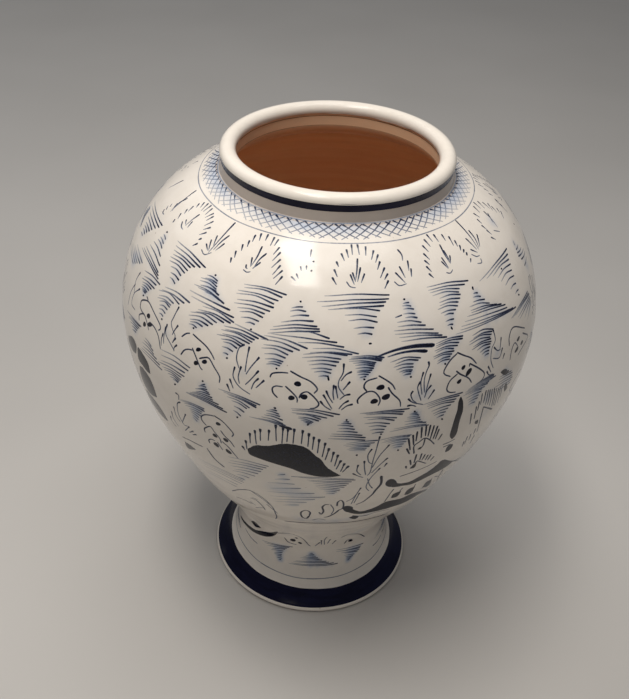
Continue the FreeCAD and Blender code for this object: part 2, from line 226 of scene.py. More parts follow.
# ------------------------------------------------- brushwork, placed one by one
# Angles in degrees from the front (-Y) towards +X; s in mm along the wall from the foot's edge.
# HATCHES: wash, ink, count, bow, then rows of left end and right end. STROKES: widths and inks at both ends, points.
# DOTS: angle, s, half length, half width, tilt. FILLS: upper line, lower line. WASHES: angle, s, radius, strength.
HATCHES = [
    (0.5, 0.9, 8, 0.6, [(-87.0, 307.7, -67.0, 311.6), (-80.0, 301.6, -71.3, 303.0), (-77.3, 295.0, -74.4, 295.7)]),
    (0.5, 0.95, 8, 0.8, [(-69.0, 293.0, -53.4, 291.1), (-66.7, 297.1, -54.6, 294.2), (-63.6, 304.7, -58.9, 303.7), (-62.9, 309.6, -60.2, 309.0)]),
    (0.9, 0.7, 5, 0.3, [(-81.7, 280.3, -70.4, 281.3), (-74.8, 289.6, -64.3, 288.6)]),
    (0.5, 0.95, 9, 1.2, [(-54.9, 313.6, -38.5, 310.9), (-53.7, 307.6, -43.7, 307.4), (-51.8, 302.5, -44.8, 302.4), (-49.3, 296.5, -46.0, 295.2)]),
    (0.7, 0.95, 8, 0.8, [(-60.5, 287.4, -51.9, 289.6), (-60.8, 282.6, -53.5, 284.7), (-59.5, 279.8, -55.7, 280.6), (-58.4, 278.2, -56.4, 278.7)]),
    (0.25, 0.8, 9, 1.6, [(-49.8, 290.6, -38.7, 291.1), (-51.0, 285.0, -43.2, 286.5), (-49.3, 281.4, -45.0, 282.5), (-48.0, 276.2, -46.1, 276.2)]),
    (0.9, 0.9, 9, 1, [(-36.4, 307.9, -32.8, 307.7), (-37.6, 305.1, -31.9, 305.0), (-37.9, 302.4, -31.5, 302.3), (-38.6, 300.9, -30.1, 300.0), (-35.6, 300.0, -28.3, 298.3)]),
    (0.6, 0.9, 8, 1.4, [(-34.6, 292.7, -23.4, 291.1), (-36.2, 289.3, -25.5, 289.8), (-36.5, 287.4, -28.3, 288.5), (-37.8, 284.7, -29.8, 285.9), (-37.1, 283.1, -31.5, 283.8), (-36.6, 281.0, -33.8, 281.2)]),
    (0.3, 0.9, 10, 1.4, [(-24.6, 311.0, -11.6, 310.7), (-24.8, 306.9, -13.6, 306.8), (-25.7, 301.7, -14.8, 302.2), (-23.2, 297.9, -16.6, 298.1), (-20.8, 292.8, -18.0, 293.2)]),
    (0.6, 0.9, 9, 1.2, [(-26.7, 287.8, -16.6, 286.8), (-25.8, 286.2, -17.7, 285.0), (-26.4, 283.8, -18.9, 283.0), (-27.2, 281.1, -20.6, 280.8), (-25.7, 279.4, -21.7, 278.3), (-24.9, 274.3, -23.5, 274.5)]),
    (0.35, 0.9, 7, 1, [(-9.0, 305.1, -6.4, 306.3), (-9.7, 300.9, -4.2, 302.1), (-13.9, 294.0, -2.1, 297.3), (-14.6, 290.7, -1.1, 295.1)]),
    (0.1, 0.85, 3, 1, [(-7.8, 294.8, 1.1, 292.0), (-13.6, 290.9, 3.0, 290.2), (-7.1, 288.6, 4.8, 287.9)]),
    (0.9, 0.95, 9, 1, [(-0.1, 312.3, 17.5, 312.7), (-2.2, 308.5, 17.0, 310.3), (-2.1, 306.1, 16.0, 308.1), (4.9, 306.8, 14.4, 305.4), (5.8, 302.9, 13.4, 301.6), (6.8, 298.6, 13.1, 298.2), (8.1, 294.2, 11.9, 294.0)]),
    (0.6, 0.9, 11, 0.8, [(21.4, 307.7, 23.1, 307.7), (21.0, 304.6, 24.2, 303.9), (20.9, 300.2, 24.8, 299.3), (18.2, 296.9, 26.6, 294.9), (18.4, 293.2, 30.3, 289.7), (19.2, 289.0, 32.0, 286.4)]),
    (0.6, 0.9, 12, 1, [(29.4, 313.0, 43.7, 309.4), (30.7, 309.7, 40.0, 307.5), (31.9, 305.3, 39.5, 303.8), (31.4, 301.5, 38.0, 300.5), (32.3, 297.5, 35.8, 297.2), (32.8, 291.8, 34.7, 291.6)]),
    (0.9, 0.95, 11, 0.8, [(44.0, 302.1, 45.7, 301.6), (43.1, 298.7, 47.3, 296.9), (41.5, 294.7, 51.4, 290.9), (40.7, 292.8, 55.0, 287.8), (37.9, 289.2, 57.1, 283.6), (35.7, 286.4, 60.1, 281.8)]),
    (0.3, 0.9, 8, 1.2, [(47.7, 306.5, 68.0, 309.6), (54.9, 304.0, 65.8, 304.1), (58.0, 297.3, 64.0, 297.7), (61.6, 288.0, 64.0, 288.0)]),
    (0.6, 0.9, 6, 0.5, [(75.3, 308.4, 74.4, 305.8), (78.2, 301.8, 73.3, 302.9), (79.4, 298.3, 72.5, 301.1), (79.9, 295.7, 73.2, 297.8), (79.7, 292.6, 73.9, 292.5)]),
    (0.6, 0.9, 8, 1.2, [(-15.6, 289.0, -3.6, 286.1), (-15.4, 285.3, -7.2, 284.1), (-15.1, 281.4, -8.5, 280.9), (-13.7, 277.1, -9.3, 277.4), (-13.1, 275.0, -10.0, 275.8)]),
    (0.9, 0.9, 9, 1.2, [(-2.0, 286.4, 9.0, 284.9), (-4.7, 283.1, 5.6, 284.0), (-4.2, 280.2, 3.9, 280.4), (-2.2, 276.5, 2.6, 276.7), (-0.8, 272.9, 1.7, 273.0)]),
    (1, 0.95, 11, 0.8, [(6.6, 282.9, 15.3, 282.1), (6.9, 281.0, 13.1, 279.8), (7.9, 276.6, 12.3, 276.3), (9.1, 272.7, 10.7, 273.1)]),
    (0.9, 0.95, 7, 1.2, [(17.2, 279.2, 24.3, 279.5), (17.8, 276.7, 22.5, 277.1), (18.9, 273.8, 22.1, 273.9), (19.6, 271.8, 21.7, 271.9)]),
    (1, 0.95, 9, 1.2, [(28.6, 284.7, 37.5, 284.2), (28.8, 281.7, 35.1, 280.9), (27.8, 278.0, 33.5, 277.9), (29.0, 274.0, 32.4, 274.8)]),
    (1, 1, 10, 1.2, [(40.4, 282.1, 47.9, 280.2), (39.3, 278.2, 46.7, 277.0), (40.8, 273.5, 46.2, 273.1), (43.7, 268.1, 45.2, 268.5)]),
    (0.1, 0.8, 6, 0.8, [(-52.6, 256.3, -48.5, 254.8), (-53.5, 250.6, -46.9, 250.9), (-54.1, 246.1, -43.4, 246.2)]),
    (0.2, 0.85, 9, 1.4, [(-44.2, 258.1, -33.4, 258.6), (-45.1, 250.0, -35.4, 252.2), (-41.7, 247.5, -36.7, 247.6), (-39.2, 245.0, -37.4, 245.2)]),
    (0.8, 0.9, 6, 0.5, [(-65.5, 256.0, -55.0, 260.0), (-62.6, 254.3, -55.8, 257.4), (-60.5, 251.0, -57.4, 252.6)]),
    (0.8, 0.9, 7, 0.8, [(56.6, 278.2, 69.6, 280.7), (58.5, 277.4, 70.9, 277.9), (61.4, 273.2, 71.2, 275.1), (66.3, 267.0, 71.7, 272.5)]),
    (0.7, 0.95, 10, 1, [(-30.2, 251.3, -28.7, 253.1), (-31.4, 247.3, -27.7, 249.2), (-33.3, 243.8, -26.2, 245.5), (-34.7, 241.9, -22.6, 240.9)]),
    (0.4, 0.9, 7, 1.2, [(-25.4, 254.1, -13.8, 251.8), (-23.1, 252.7, -15.2, 249.5), (-21.1, 249.6, -17.2, 247.5), (-20.5, 243.9, -18.8, 241.7)]),
    (0.8, 0.75, 9, 1, [(-37.4, 234.4, -28.9, 236.7), (-35.4, 232.2, -29.4, 234.3), (-33.8, 230.2, -30.7, 229.4), (-33.0, 226.1, -31.8, 224.1)]),
    (0.4, 0.85, 7, 0.8, [(-11.8, 250.5, -9.9, 250.3), (-12.6, 247.9, -9.0, 247.2), (-13.3, 244.5, -8.2, 243.1), (-15.8, 242.6, -6.8, 241.0)]),
    (0.6, 0.9, 8, 1, [(-6.5, 252.9, 4.6, 252.0), (-5.7, 250.8, 1.4, 249.3), (-4.7, 248.3, -0.8, 246.6), (-3.4, 246.3, -1.8, 245.1)]),
    (0.8, 0.9, 8, 0.5, [(5.8, 247.1, 7.1, 247.4), (5.0, 245.5, 8.0, 245.2), (4.4, 242.1, 8.9, 241.4), (2.8, 239.3, 11.0, 237.8), (2.3, 236.1, 11.6, 234.7)]),
    (0.7, 0.75, 6, 0.6, [(6.5, 232.7, 14.5, 233.7), (7.1, 230.0, 13.0, 230.3), (8.3, 227.3, 11.9, 227.5)]),
    (0.5, 0.9, 9, 0.8, [(9.9, 252.8, 21.4, 252.4), (10.7, 250.9, 19.3, 248.4), (11.6, 245.4, 16.6, 244.2), (12.8, 239.1, 15.5, 239.4)]),
    (0.8, 0.75, 9, 0.8, [(22.3, 249.2, 23.8, 249.1), (21.6, 247.4, 24.5, 245.9), (20.9, 243.8, 25.8, 241.4), (17.9, 238.9, 27.4, 238.6)]),
    (0.9, 0.7, 7, 0.8, [(15.2, 233.5, 23.0, 234.3), (16.7, 230.7, 22.6, 231.2), (18.8, 226.3, 21.1, 226.6)]),
    (0.4, 0.9, 8, 0.8, [(25.1, 252.7, 36.7, 252.8), (26.9, 250.8, 34.4, 250.0), (28.2, 246.2, 32.8, 246.8), (29.1, 241.9, 31.3, 242.3)]),
    (0.8, 0.75, 8, 0.8, [(37.6, 252.1, 45.9, 251.2), (37.7, 249.1, 43.2, 248.4), (39.1, 242.2, 41.3, 242.4)]),
    (0.3, 0.75, 5, 0.6, [(38.0, 250.5, 48.4, 252.0), (37.7, 252.9, 46.9, 254.3)]),
    (0.9, 0.85, 8, 0.6, [(51.4, 251.4, 53.4, 250.0), (49.8, 248.6, 56.6, 244.7), (49.0, 244.2, 58.4, 240.0), (48.2, 240.3, 57.6, 236.7)]),
    (0.5, 0.7, 8, 1, [(-23.7, 202.7, -11.9, 206.0), (-25.0, 195.2, -14.1, 200.3), (-23.0, 189.2, -16.2, 192.6), (-22.3, 182.2, -20.6, 181.6)]),
    (0.1, 0.6, 6, 2.2, [(-37.1, 179.1, -20.6, 181.6), (-36.3, 173.9, -21.6, 176.0), (-37.7, 160.3, -25.2, 164.1)]),
    (0.8, 0.85, 9, 0.6, [(-3.6, 200.1, 10.6, 199.4), (-0.7, 196.3, 9.1, 193.9), (1.4, 190.5, 7.5, 188.6), (3.8, 183.9, 6.1, 183.5)]),
    (1.3, 0.7, 9, 0.6, [(-10.0, 198.6, -7.8, 200.8), (-11.7, 189.7, -5.5, 193.5), (-13.1, 179.3, -3.0, 186.3), (-13.6, 169.7, 4.2, 179.1), (-12.7, 162.6, 0.0, 171.8), (-10.0, 157.1, -4.0, 161.8)]),
    (1.5, 0.92, 10, 0.4, [(-35.6, 47.2, -12.1, 55.5), (-29.6, 44.2, -17.9, 49.6), (-26.0, 40.0, -19.8, 42.3), (-22.5, 36.2, -20.4, 36.7)]),
    (1.5, 0.95, 10, 0.4, [(0.9, 50.9, 2.7, 51.0), (-2.8, 46.1, 6.6, 45.8), (-8.5, 40.3, 12.8, 41.4), (-13.6, 35.6, 22.2, 37.1)]),
    (1.5, 0.95, 10, 0.4, [(20.0, 52.6, 42.6, 48.1), (24.4, 48.0, 39.6, 43.4), (28.3, 41.8, 34.5, 39.8), (29.5, 37.5, 31.6, 37.1)]),
]
STROKES = [
    (1, 0.45, 0.95, 0.5, [(-55.9, 331.5), (-56.5, 327.0), (-56.9, 322.1)]),
    (1, 0.45, 0.95, 0.5, [(-58.9, 324.6), (-57.3, 322.5)]),
    (1, 0.45, 0.95, 0.5, [(-55.7, 326.3), (-55.4, 322.2)]),
    (1, 0.45, 0.95, 0.5, [(-59.7, 322.4), (-58.2, 320.2), (-56.4, 319.8)]),
    (1, 0.45, 0.95, 0.5, [(-70.6, 337.5), (-70.0, 329.5), (-69.7, 319.4)]),
    (1, 0.45, 0.95, 0.5, [(-69.2, 331.3), (-70.4, 325.4), (-69.3, 320.7)]),
    (1, 0.45, 0.95, 0.5, [(-70.8, 324.9), (-69.8, 320.9)]),
    (1, 0.45, 0.95, 0.5, [(-72.9, 317.4), (-74.1, 319.3)]),
    (1, 0.45, 0.95, 0.5, [(-72.5, 320.3), (-73.3, 322.0)]),
    (1, 0.45, 0.95, 0.5, [(-73.9, 316.1), (-73.1, 314.7), (-71.4, 315.0)]),
    (1, 0.45, 0.95, 0.5, [(-84.8, 330.3), (-85.9, 324.4), (-87.0, 318.8)]),
    (1, 0.45, 0.95, 0.5, [(-39.2, 338.9), (-39.7, 329.0), (-40.6, 318.3)]),
    (1, 0.45, 0.95, 0.5, [(-37.5, 331.2), (-38.7, 326.5), (-39.5, 320.9)]),
    (1, 0.45, 0.95, 0.5, [(-37.2, 326.2), (-38.7, 320.9)]),
    (1, 0.45, 0.95, 0.5, [(-41.7, 328.2), (-40.5, 322.7)]),
    (1, 0.45, 0.95, 0.5, [(-42.7, 324.8), (-41.0, 319.2)]),
    (1, 0.45, 0.95, 0.5, [(-43.4, 321.7), (-41.3, 319.0)]),
    (1, 0.45, 0.95, 0.5, [(-23.8, 332.0), (-23.8, 326.1), (-24.4, 320.8)]),
    (1, 0.45, 0.95, 0.5, [(-21.3, 329.0), (-22.7, 325.0), (-23.4, 319.7)]),
    (1, 0.45, 0.95, 0.5, [(-22.0, 323.7), (-23.7, 319.5)]),
    (1, 0.45, 0.95, 0.5, [(-25.3, 324.9), (-24.5, 320.2)]),
    (1, 0.45, 0.95, 0.5, [(-26.1, 320.5), (-25.8, 319.0), (-25.2, 318.7)]),
    (1, 0.45, 0.95, 0.5, [(9.3, 332.2), (8.8, 325.8), (8.2, 320.7)]),
    (1, 0.45, 0.95, 0.5, [(7.4, 324.8), (8.2, 320.1)]),
    (1, 0.45, 0.95, 0.5, [(6.7, 323.8), (7.8, 318.7)]),
    (1, 0.45, 0.95, 0.5, [(10.0, 327.4), (8.8, 320.1)]),
    (1, 0.45, 0.95, 0.5, [(11.1, 324.1), (9.9, 319.6)]),
    (1, 0.45, 0.95, 0.5, [(24.1, 335.2), (24.9, 332.1), (24.5, 328.9)]),
    (1, 0.45, 0.95, 0.5, [(26.2, 328.4), (25.5, 323.2)]),
    (1, 0.45, 0.95, 0.5, [(26.4, 324.0), (25.8, 319.9)]),
    (1, 0.45, 0.95, 0.5, [(22.8, 326.1), (23.7, 320.0)]),
    (1, 0.45, 0.95, 0.5, [(21.0, 323.3), (23.3, 317.5)]),
    (1, 0.45, 0.95, 0.5, [(40.7, 332.0), (40.3, 326.3), (40.7, 320.9)]),
    (1, 0.45, 0.95, 0.5, [(40.8, 328.4), (40.9, 321.3)]),
    (1, 0.45, 0.95, 0.5, [(42.0, 324.8), (40.9, 321.3)]),
    (1, 0.45, 0.95, 0.5, [(38.6, 325.3), (39.3, 319.3)]),
    (1, 0.45, 0.95, 0.5, [(37.9, 323.4), (39.1, 318.9)]),
    (1, 0.45, 0.95, 0.5, [(55.2, 339.6), (55.2, 330.4), (54.7, 320.4)]),
    (1, 0.45, 0.95, 0.5, [(56.8, 331.3), (56.5, 326.1), (55.3, 321.1)]),
    (1, 0.45, 0.95, 0.5, [(58.8, 327.0), (56.0, 321.2)]),
    (1, 0.45, 0.95, 0.5, [(52.7, 328.8), (53.9, 320.9)]),
    (1, 0.45, 0.95, 0.5, [(51.4, 322.7), (53.4, 319.4)]),
    (1, 0.45, 0.95, 0.5, [(49.2, 318.7), (48.3, 317.0)]),
    (1, 0.45, 0.95, 0.5, [(73.1, 331.7), (72.7, 326.4), (71.8, 320.5)]),
    (1, 0.45, 0.95, 0.5, [(74.0, 329.2), (71.6, 324.4)]),
    (1, 0.45, 0.95, 0.5, [(88.4, 324.6), (88.3, 314.3)]),
    (1, 0.45, 0.95, 0.5, [(-6.6, 335.9), (-6.5, 331.9)]),
    (1, 0.45, 0.95, 0.5, [(-9.0, 326.0), (-8.5, 323.9)]),
    (1, 0.45, 0.95, 0.5, [(-7.2, 326.9), (-7.0, 324.8)]),
    (1, 0.45, 0.95, 0.5, [(-11.1, 320.1), (-9.6, 318.4)]),
    (1, 0.45, 0.95, 0.5, [(-9.8, 322.0), (-8.9, 319.7)]),
    (0.6, 0.5, 0.7, 0.6, [(-43.6, 317.8), (-41.5, 316.4), (-39.6, 319.0)]),
    (0.6, 0.5, 0.7, 0.6, [(5.5, 320.1), (6.6, 317.6), (8.1, 317.1)]),
    (0.6, 0.5, 0.7, 0.6, [(20.0, 318.8), (21.3, 316.5), (23.6, 316.9)]),
    (0.6, 0.5, 0.7, 0.6, [(37.8, 317.3), (39.1, 316.4), (40.4, 317.6)]),
    (0.6, 0.5, 0.7, 0.6, [(50.5, 320.3), (52.0, 318.0), (53.5, 317.6)]),
    (0.6, 0.5, 0.7, 0.6, [(53.1, 315.9), (52.6, 313.9), (50.7, 314.7)]),
    (0.6, 0.5, 0.7, 0.6, [(68.3, 321.6), (71.0, 318.3)]),
    (0.6, 0.5, 0.7, 0.6, [(-26.3, 317.6), (-25.0, 316.9), (-23.9, 317.7)]),
    (-1.2, 0.6, 1, 0.62, [(-41.4, 286.2), (-42.1, 279.9), (-42.4, 276.2), (-41.3, 273.2), (-40.0, 271.0), (-40.5, 266.9)]),
    (-1.2, 0.6, 1, 0.62, [(-39.9, 277.1), (-40.6, 273.9), (-41.1, 270.7)]),
    (-1.2, 0.6, 1, 0.62, [(-39.7, 270.1), (-40.6, 266.5)]),
    (-1.2, 0.6, 1, 0.62, [(-38.9, 266.8), (-39.7, 264.5), (-39.6, 262.5)]),
    (-1.2, 0.6, 1, 0.62, [(-43.7, 274.0), (-43.5, 268.8), (-41.1, 265.2), (-39.5, 262.9)]),
    (-1.2, 0.6, 1, 0.62, [(-44.5, 267.8), (-44.8, 263.8), (-44.5, 260.5)]),
    (-1.2, 0.6, 1, 0.62, [(-44.0, 272.1), (-44.0, 265.9), (-43.7, 262.7)]),
    (-1.2, 0.6, 1, 0.62, [(-63.1, 284.1), (-64.0, 277.9), (-62.7, 271.5)]),
    (-1.2, 0.6, 1, 0.62, [(-60.0, 277.3), (-62.6, 271.3), (-62.9, 264.5), (-59.8, 264.2)]),
    (-1.2, 0.6, 1, 0.62, [(-63.6, 276.1), (-65.3, 268.5), (-65.7, 260.1)]),
    (-1.2, 0.6, 1, 0.62, [(-19.7, 282.1), (-20.9, 279.6), (-21.1, 274.2), (-20.1, 269.4)]),
    (-1.2, 0.6, 1, 0.62, [(-18.3, 281.6), (-18.4, 275.8), (-18.4, 268.4)]),
    (-1.2, 0.6, 1, 0.62, [(-15.4, 277.6), (-17.1, 271.7), (-18.1, 267.2)]),
    (-1.2, 0.6, 1, 0.62, [(-15.1, 270.6), (-16.9, 264.6), (-18.0, 261.4)]),
    (-1.2, 0.6, 1, 0.62, [(-14.9, 266.6), (-15.9, 263.6), (-16.4, 259.8)]),
    (-1.2, 0.6, 1, 0.62, [(-13.5, 266.2), (-15.3, 261.1)]),
    (-1.2, 0.6, 1, 0.62, [(-21.2, 269.2), (-21.4, 264.5), (-20.5, 261.2), (-19.0, 258.7), (-16.6, 256.7)]),
    (-1.2, 0.6, 1, 0.62, [(-19.6, 270.4), (-20.0, 264.7), (-19.5, 261.0)]),
    (-1.2, 0.6, 1, 0.62, [(-22.1, 261.8), (-21.0, 257.3)]),
    (-1.2, 0.6, 1, 0.62, [(-22.7, 258.4), (-21.8, 254.9)]),
    (-1.2, 0.6, 1, 0.62, [(5.2, 279.7), (5.1, 275.1), (4.2, 270.9), (4.2, 267.6), (4.8, 265.5), (5.7, 263.1)]),
    (-1.2, 0.6, 1, 0.62, [(7.1, 275.6), (5.8, 274.1), (4.7, 270.9)]),
    (-1.2, 0.6, 1, 0.62, [(6.8, 270.4), (5.3, 266.1)]),
    (-1.2, 0.6, 1, 0.62, [(7.0, 263.6), (5.8, 263.0), (4.7, 260.8)]),
    (-1.2, 0.6, 1, 0.62, [(6.7, 260.0), (5.5, 258.2), (4.6, 255.3)]),
    (-1.2, 0.6, 1, 0.62, [(7.7, 258.0), (6.4, 257.1), (5.2, 254.8)]),
    (-1.2, 0.6, 1, 0.62, [(3.1, 268.4), (3.0, 264.3), (3.3, 260.4)]),
    (-1.2, 0.6, 1, 0.62, [(1.4, 265.2), (2.1, 262.0), (3.1, 258.7)]),
    (-1.2, 0.6, 1, 0.62, [(0.8, 262.9), (2.0, 258.6), (3.0, 255.2)]),
    (-1.2, 0.6, 1, 0.62, [(0.2, 259.2), (1.3, 256.5), (2.8, 254.5)]),
    (-1.2, 0.6, 1, 0.62, [(3.5, 268.1), (3.8, 265.2), (4.2, 261.4)]),
    (-1.2, 0.6, 1, 0.62, [(26.5, 276.3), (26.6, 274.3), (25.8, 271.3), (25.2, 266.9), (25.3, 260.1)]),
    (-1.2, 0.6, 1, 0.62, [(27.0, 269.6), (26.2, 264.5), (25.6, 258.7)]),
    (-1.2, 0.6, 1, 0.62, [(24.2, 266.6), (23.5, 264.0), (23.8, 260.5), (24.5, 255.8)]),
    (-1.2, 0.6, 1, 0.62, [(27.1, 263.2), (26.0, 260.6), (25.4, 257.1)]),
    (-1.2, 0.6, 1, 0.62, [(28.0, 260.1), (26.4, 255.7)]),
    (-1.2, 0.6, 1, 0.62, [(22.3, 262.1), (21.8, 260.2), (22.4, 256.8), (23.3, 255.1)]),
    (-1.2, 0.6, 1, 0.62, [(21.2, 258.1), (22.4, 255.6), (25.1, 253.1)]),
    (-1.2, 0.6, 1, 0.62, [(21.1, 254.1), (22.1, 254.1), (23.3, 252.8)]),
    (-1.2, 0.6, 1, 0.62, [(25.0, 271.4), (24.3, 266.2), (24.7, 259.2)]),
    (-1.2, 0.6, 1, 0.62, [(47.9, 280.2), (48.3, 273.6), (46.6, 269.9), (46.1, 263.9), (47.1, 258.1)]),
    (-1.2, 0.6, 1, 0.62, [(50.8, 272.7), (49.9, 266.8)]),
    (-1.2, 0.6, 1, 0.62, [(51.0, 266.3), (49.6, 262.0), (46.9, 264.1)]),
    (-1.2, 0.6, 1, 0.62, [(51.9, 262.1), (51.2, 259.5)]),
    (-1.2, 0.6, 1, 0.62, [(47.6, 269.9), (48.8, 267.0), (50.1, 266.3)]),
    (-1.2, 0.6, 1, 0.62, [(45.1, 261.0), (46.2, 256.5)]),
    (-1.2, 0.6, 1, 0.62, [(44.6, 258.4), (45.5, 255.4), (46.9, 254.6)]),
    (-1.2, 0.6, 1, 0.62, [(-37.2, 231.7), (-38.4, 229.0), (-38.9, 220.7), (-38.4, 216.5), (-37.5, 213.1), (-36.1, 214.0)]),
    (-1.2, 0.6, 1, 0.62, [(-35.8, 224.4), (-38.2, 213.8)]),
    (-1.2, 0.6, 1, 0.62, [(-35.5, 214.4), (-38.0, 207.1)]),
    (-1.2, 0.6, 1, 0.62, [(-34.3, 212.3), (-36.2, 208.4)]),
    (-1.2, 0.6, 1, 0.62, [(-33.5, 210.4), (-35.0, 208.1)]),
    (-1.2, 0.6, 1, 0.62, [(-40.3, 223.9), (-40.2, 216.8), (-39.0, 213.4)]),
    (-1.2, 0.6, 1, 0.62, [(-42.0, 217.4), (-42.1, 211.3), (-40.9, 206.4)]),
    (-1.2, 0.6, 1, 0.62, [(-43.4, 211.3), (-43.8, 206.7), (-42.3, 203.6)]),
    (-1.2, 0.6, 1, 0.62, [(-38.5, 236.8), (-37.5, 236.4), (-37.6, 233.0)]),
    (-1.2, 0.6, 1, 0.62, [(15.0, 236.5), (14.7, 228.7), (14.4, 218.0), (14.4, 206.6), (13.9, 203.2)]),
    (-1.2, 0.6, 1, 0.62, [(17.8, 229.4), (15.9, 221.8), (14.6, 211.0)]),
    (-1.2, 0.6, 1, 0.62, [(18.1, 218.2), (16.2, 211.7), (14.8, 205.4)]),
    (-1.2, 0.6, 1, 0.62, [(18.3, 213.5), (17.8, 210.5)]),
    (-1.2, 0.6, 1, 0.62, [(12.2, 217.7), (12.6, 211.2), (13.4, 203.9)]),
    (-1.2, 0.6, 1, 0.62, [(13.5, 227.5), (12.8, 222.8), (13.4, 216.5), (14.6, 214.3)]),
    (-1.2, 0.6, 1, 0.62, [(10.8, 214.5), (10.8, 208.7), (12.1, 204.3)]),
    (-1.2, 0.6, 1, 0.62, [(9.9, 206.4), (11.4, 203.5), (12.9, 201.4)]),
    (-1.2, 0.6, 1, 0.62, [(16.8, 209.5), (14.9, 199.0), (14.6, 189.8), (15.9, 183.9)]),
    (-1.2, 0.6, 1, 0.62, [(13.2, 189.2), (12.5, 180.1), (12.1, 166.0)]),
    (-1.2, 0.6, 1, 0.62, [(13.3, 182.6), (12.9, 167.4)]),
    (-1.2, 0.6, 1, 0.62, [(7.6, 70.9), (8.2, 63.1)]),
    (-1.2, 0.6, 1, 0.62, [(10.1, 79.7), (9.5, 70.6), (10.3, 62.9)]),
    (-1.2, 0.6, 1, 0.62, [(13.2, 72.0), (12.2, 64.3)]),
    (-1.2, 0.6, 1, 0.62, [(17.4, 68.1), (15.5, 62.5)]),
    (-1.2, 0.6, 1, 0.62, [(6.9, 66.8), (4.0, 60.7)]),
    (0.85, 0.7, 0.9, 0.75, [(-57.1, 269.5), (-57.3, 273.0), (-55.9, 275.2), (-53.5, 276.7), (-50.1, 274.5), (-46.5, 271.2), (-45.9, 268.9), (-46.6, 267.5)]),
    (0.85, 0.7, 0.9, 0.75, [(-56.3, 262.1), (-56.8, 264.8), (-55.5, 267.2), (-54.2, 268.3), (-52.7, 266.7), (-50.7, 262.8)]),
    (0.85, 0.7, 0.9, 0.75, [(-50.9, 267.5), (-48.5, 267.2), (-46.2, 264.3), (-44.6, 258.2)]),
    (0.85, 0.7, 0.9, 0.75, [(-57.1, 269.5), (-55.8, 268.5), (-54.2, 268.5)]),
    (0.85, 0.7, 0.9, 0.75, [(-55.2, 278.2), (-54.0, 277.2)]),
    (0.85, 0.7, 0.9, 0.75, [(-37.8, 272.8), (-36.6, 275.7), (-35.5, 276.8)]),
    (0.85, 0.7, 0.9, 0.75, [(-34.5, 277.2), (-30.1, 274.5), (-28.0, 271.7), (-26.9, 269.2)]),
    (0.85, 0.7, 0.9, 0.75, [(-37.1, 263.0), (-36.2, 266.5), (-35.0, 268.2), (-33.7, 268.9)]),
    (0.85, 0.7, 0.9, 0.75, [(-33.8, 270.0), (-32.2, 266.0), (-30.6, 261.6), (-29.9, 260.9)]),
    (0.85, 0.7, 0.9, 0.75, [(-31.2, 266.3), (-30.1, 267.7), (-28.5, 268.8), (-26.8, 265.4), (-24.9, 261.1), (-24.8, 257.7)]),
    (0.85, 0.7, 0.9, 0.75, [(-12.1, 268.8), (-11.7, 270.9), (-9.8, 272.2), (-7.9, 272.6)]),
    (0.85, 0.7, 0.9, 0.75, [(-7.4, 273.8), (-4.8, 271.5), (-2.3, 269.5), (-0.7, 266.0), (-1.4, 263.4)]),
    (0.85, 0.7, 0.9, 0.75, [(-9.9, 258.3), (-11.0, 260.4), (-11.3, 263.1), (-10.5, 264.6), (-8.9, 264.8)]),
    (0.85, 0.7, 0.9, 0.75, [(-8.2, 265.3), (-6.8, 263.0), (-5.3, 259.8), (-5.2, 257.3)]),
    (0.85, 0.7, 0.9, 0.75, [(-4.8, 260.0), (-4.4, 262.3), (-3.5, 263.7), (-2.8, 263.8)]),
    (0.85, 0.7, 0.9, 0.75, [(-2.8, 263.8), (-1.4, 261.4), (-0.1, 257.7), (-0.9, 255.2), (-2.1, 254.6)]),
    (0.85, 0.7, 0.9, 0.75, [(10.9, 265.1), (10.2, 267.3), (10.4, 269.4), (11.2, 270.9), (13.3, 272.0)]),
    (0.85, 0.7, 0.9, 0.75, [(13.7, 273.0), (15.5, 270.4), (17.0, 267.7), (17.8, 264.7)]),
    (0.85, 0.7, 0.9, 0.75, [(9.0, 258.4), (8.8, 260.2), (9.6, 262.6), (11.1, 264.8), (12.7, 264.5), (13.9, 261.5), (14.2, 258.9), (13.8, 256.6)]),
    (0.85, 0.7, 0.9, 0.75, [(16.1, 266.3), (17.1, 262.7), (19.0, 258.1), (19.3, 254.5)]),
    (0.85, 0.7, 0.9, 0.75, [(16.1, 266.3), (16.4, 264.6)]),
    (0.85, 0.7, 0.9, 0.75, [(34.8, 276.3), (32.6, 273.9), (30.7, 269.5), (30.9, 267.2), (32.5, 265.1)]),
    (0.85, 0.7, 0.9, 0.75, [(34.9, 276.8), (36.9, 273.9), (39.1, 270.9), (40.8, 266.5)]),
    (0.85, 0.7, 0.9, 0.75, [(38.6, 268.2), (41.8, 262.7), (43.7, 258.1), (43.0, 255.0), (40.8, 254.0)]),
    (0.85, 0.7, 0.9, 0.75, [(38.6, 268.2), (38.4, 266.7)]),
    (0.85, 0.7, 0.9, 0.75, [(34.3, 267.0), (35.5, 264.4), (38.1, 260.2), (39.2, 256.6)]),
    (0.85, 0.7, 0.9, 0.75, [(34.6, 265.1), (32.5, 262.8), (31.6, 259.3), (31.7, 257.2), (32.7, 255.6), (34.2, 254.8)]),
    (0.85, 0.7, 0.9, 0.75, [(54.3, 264.2), (54.5, 269.4), (57.2, 272.5), (64.0, 264.4)]),
    (0.85, 0.7, 0.9, 0.75, [(54.8, 254.9), (55.6, 260.3), (57.3, 262.8), (59.1, 258.8)]),
    (0.85, 0.7, 0.9, 0.75, [(62.4, 263.1), (66.8, 255.7), (62.1, 253.9), (59.5, 252.4)]),
    (0.85, 0.7, 0.9, 0.75, [(-28.9, 224.6), (-30.0, 226.8), (-30.2, 229.7), (-29.1, 232.4), (-27.3, 234.1), (-26.1, 234.7)]),
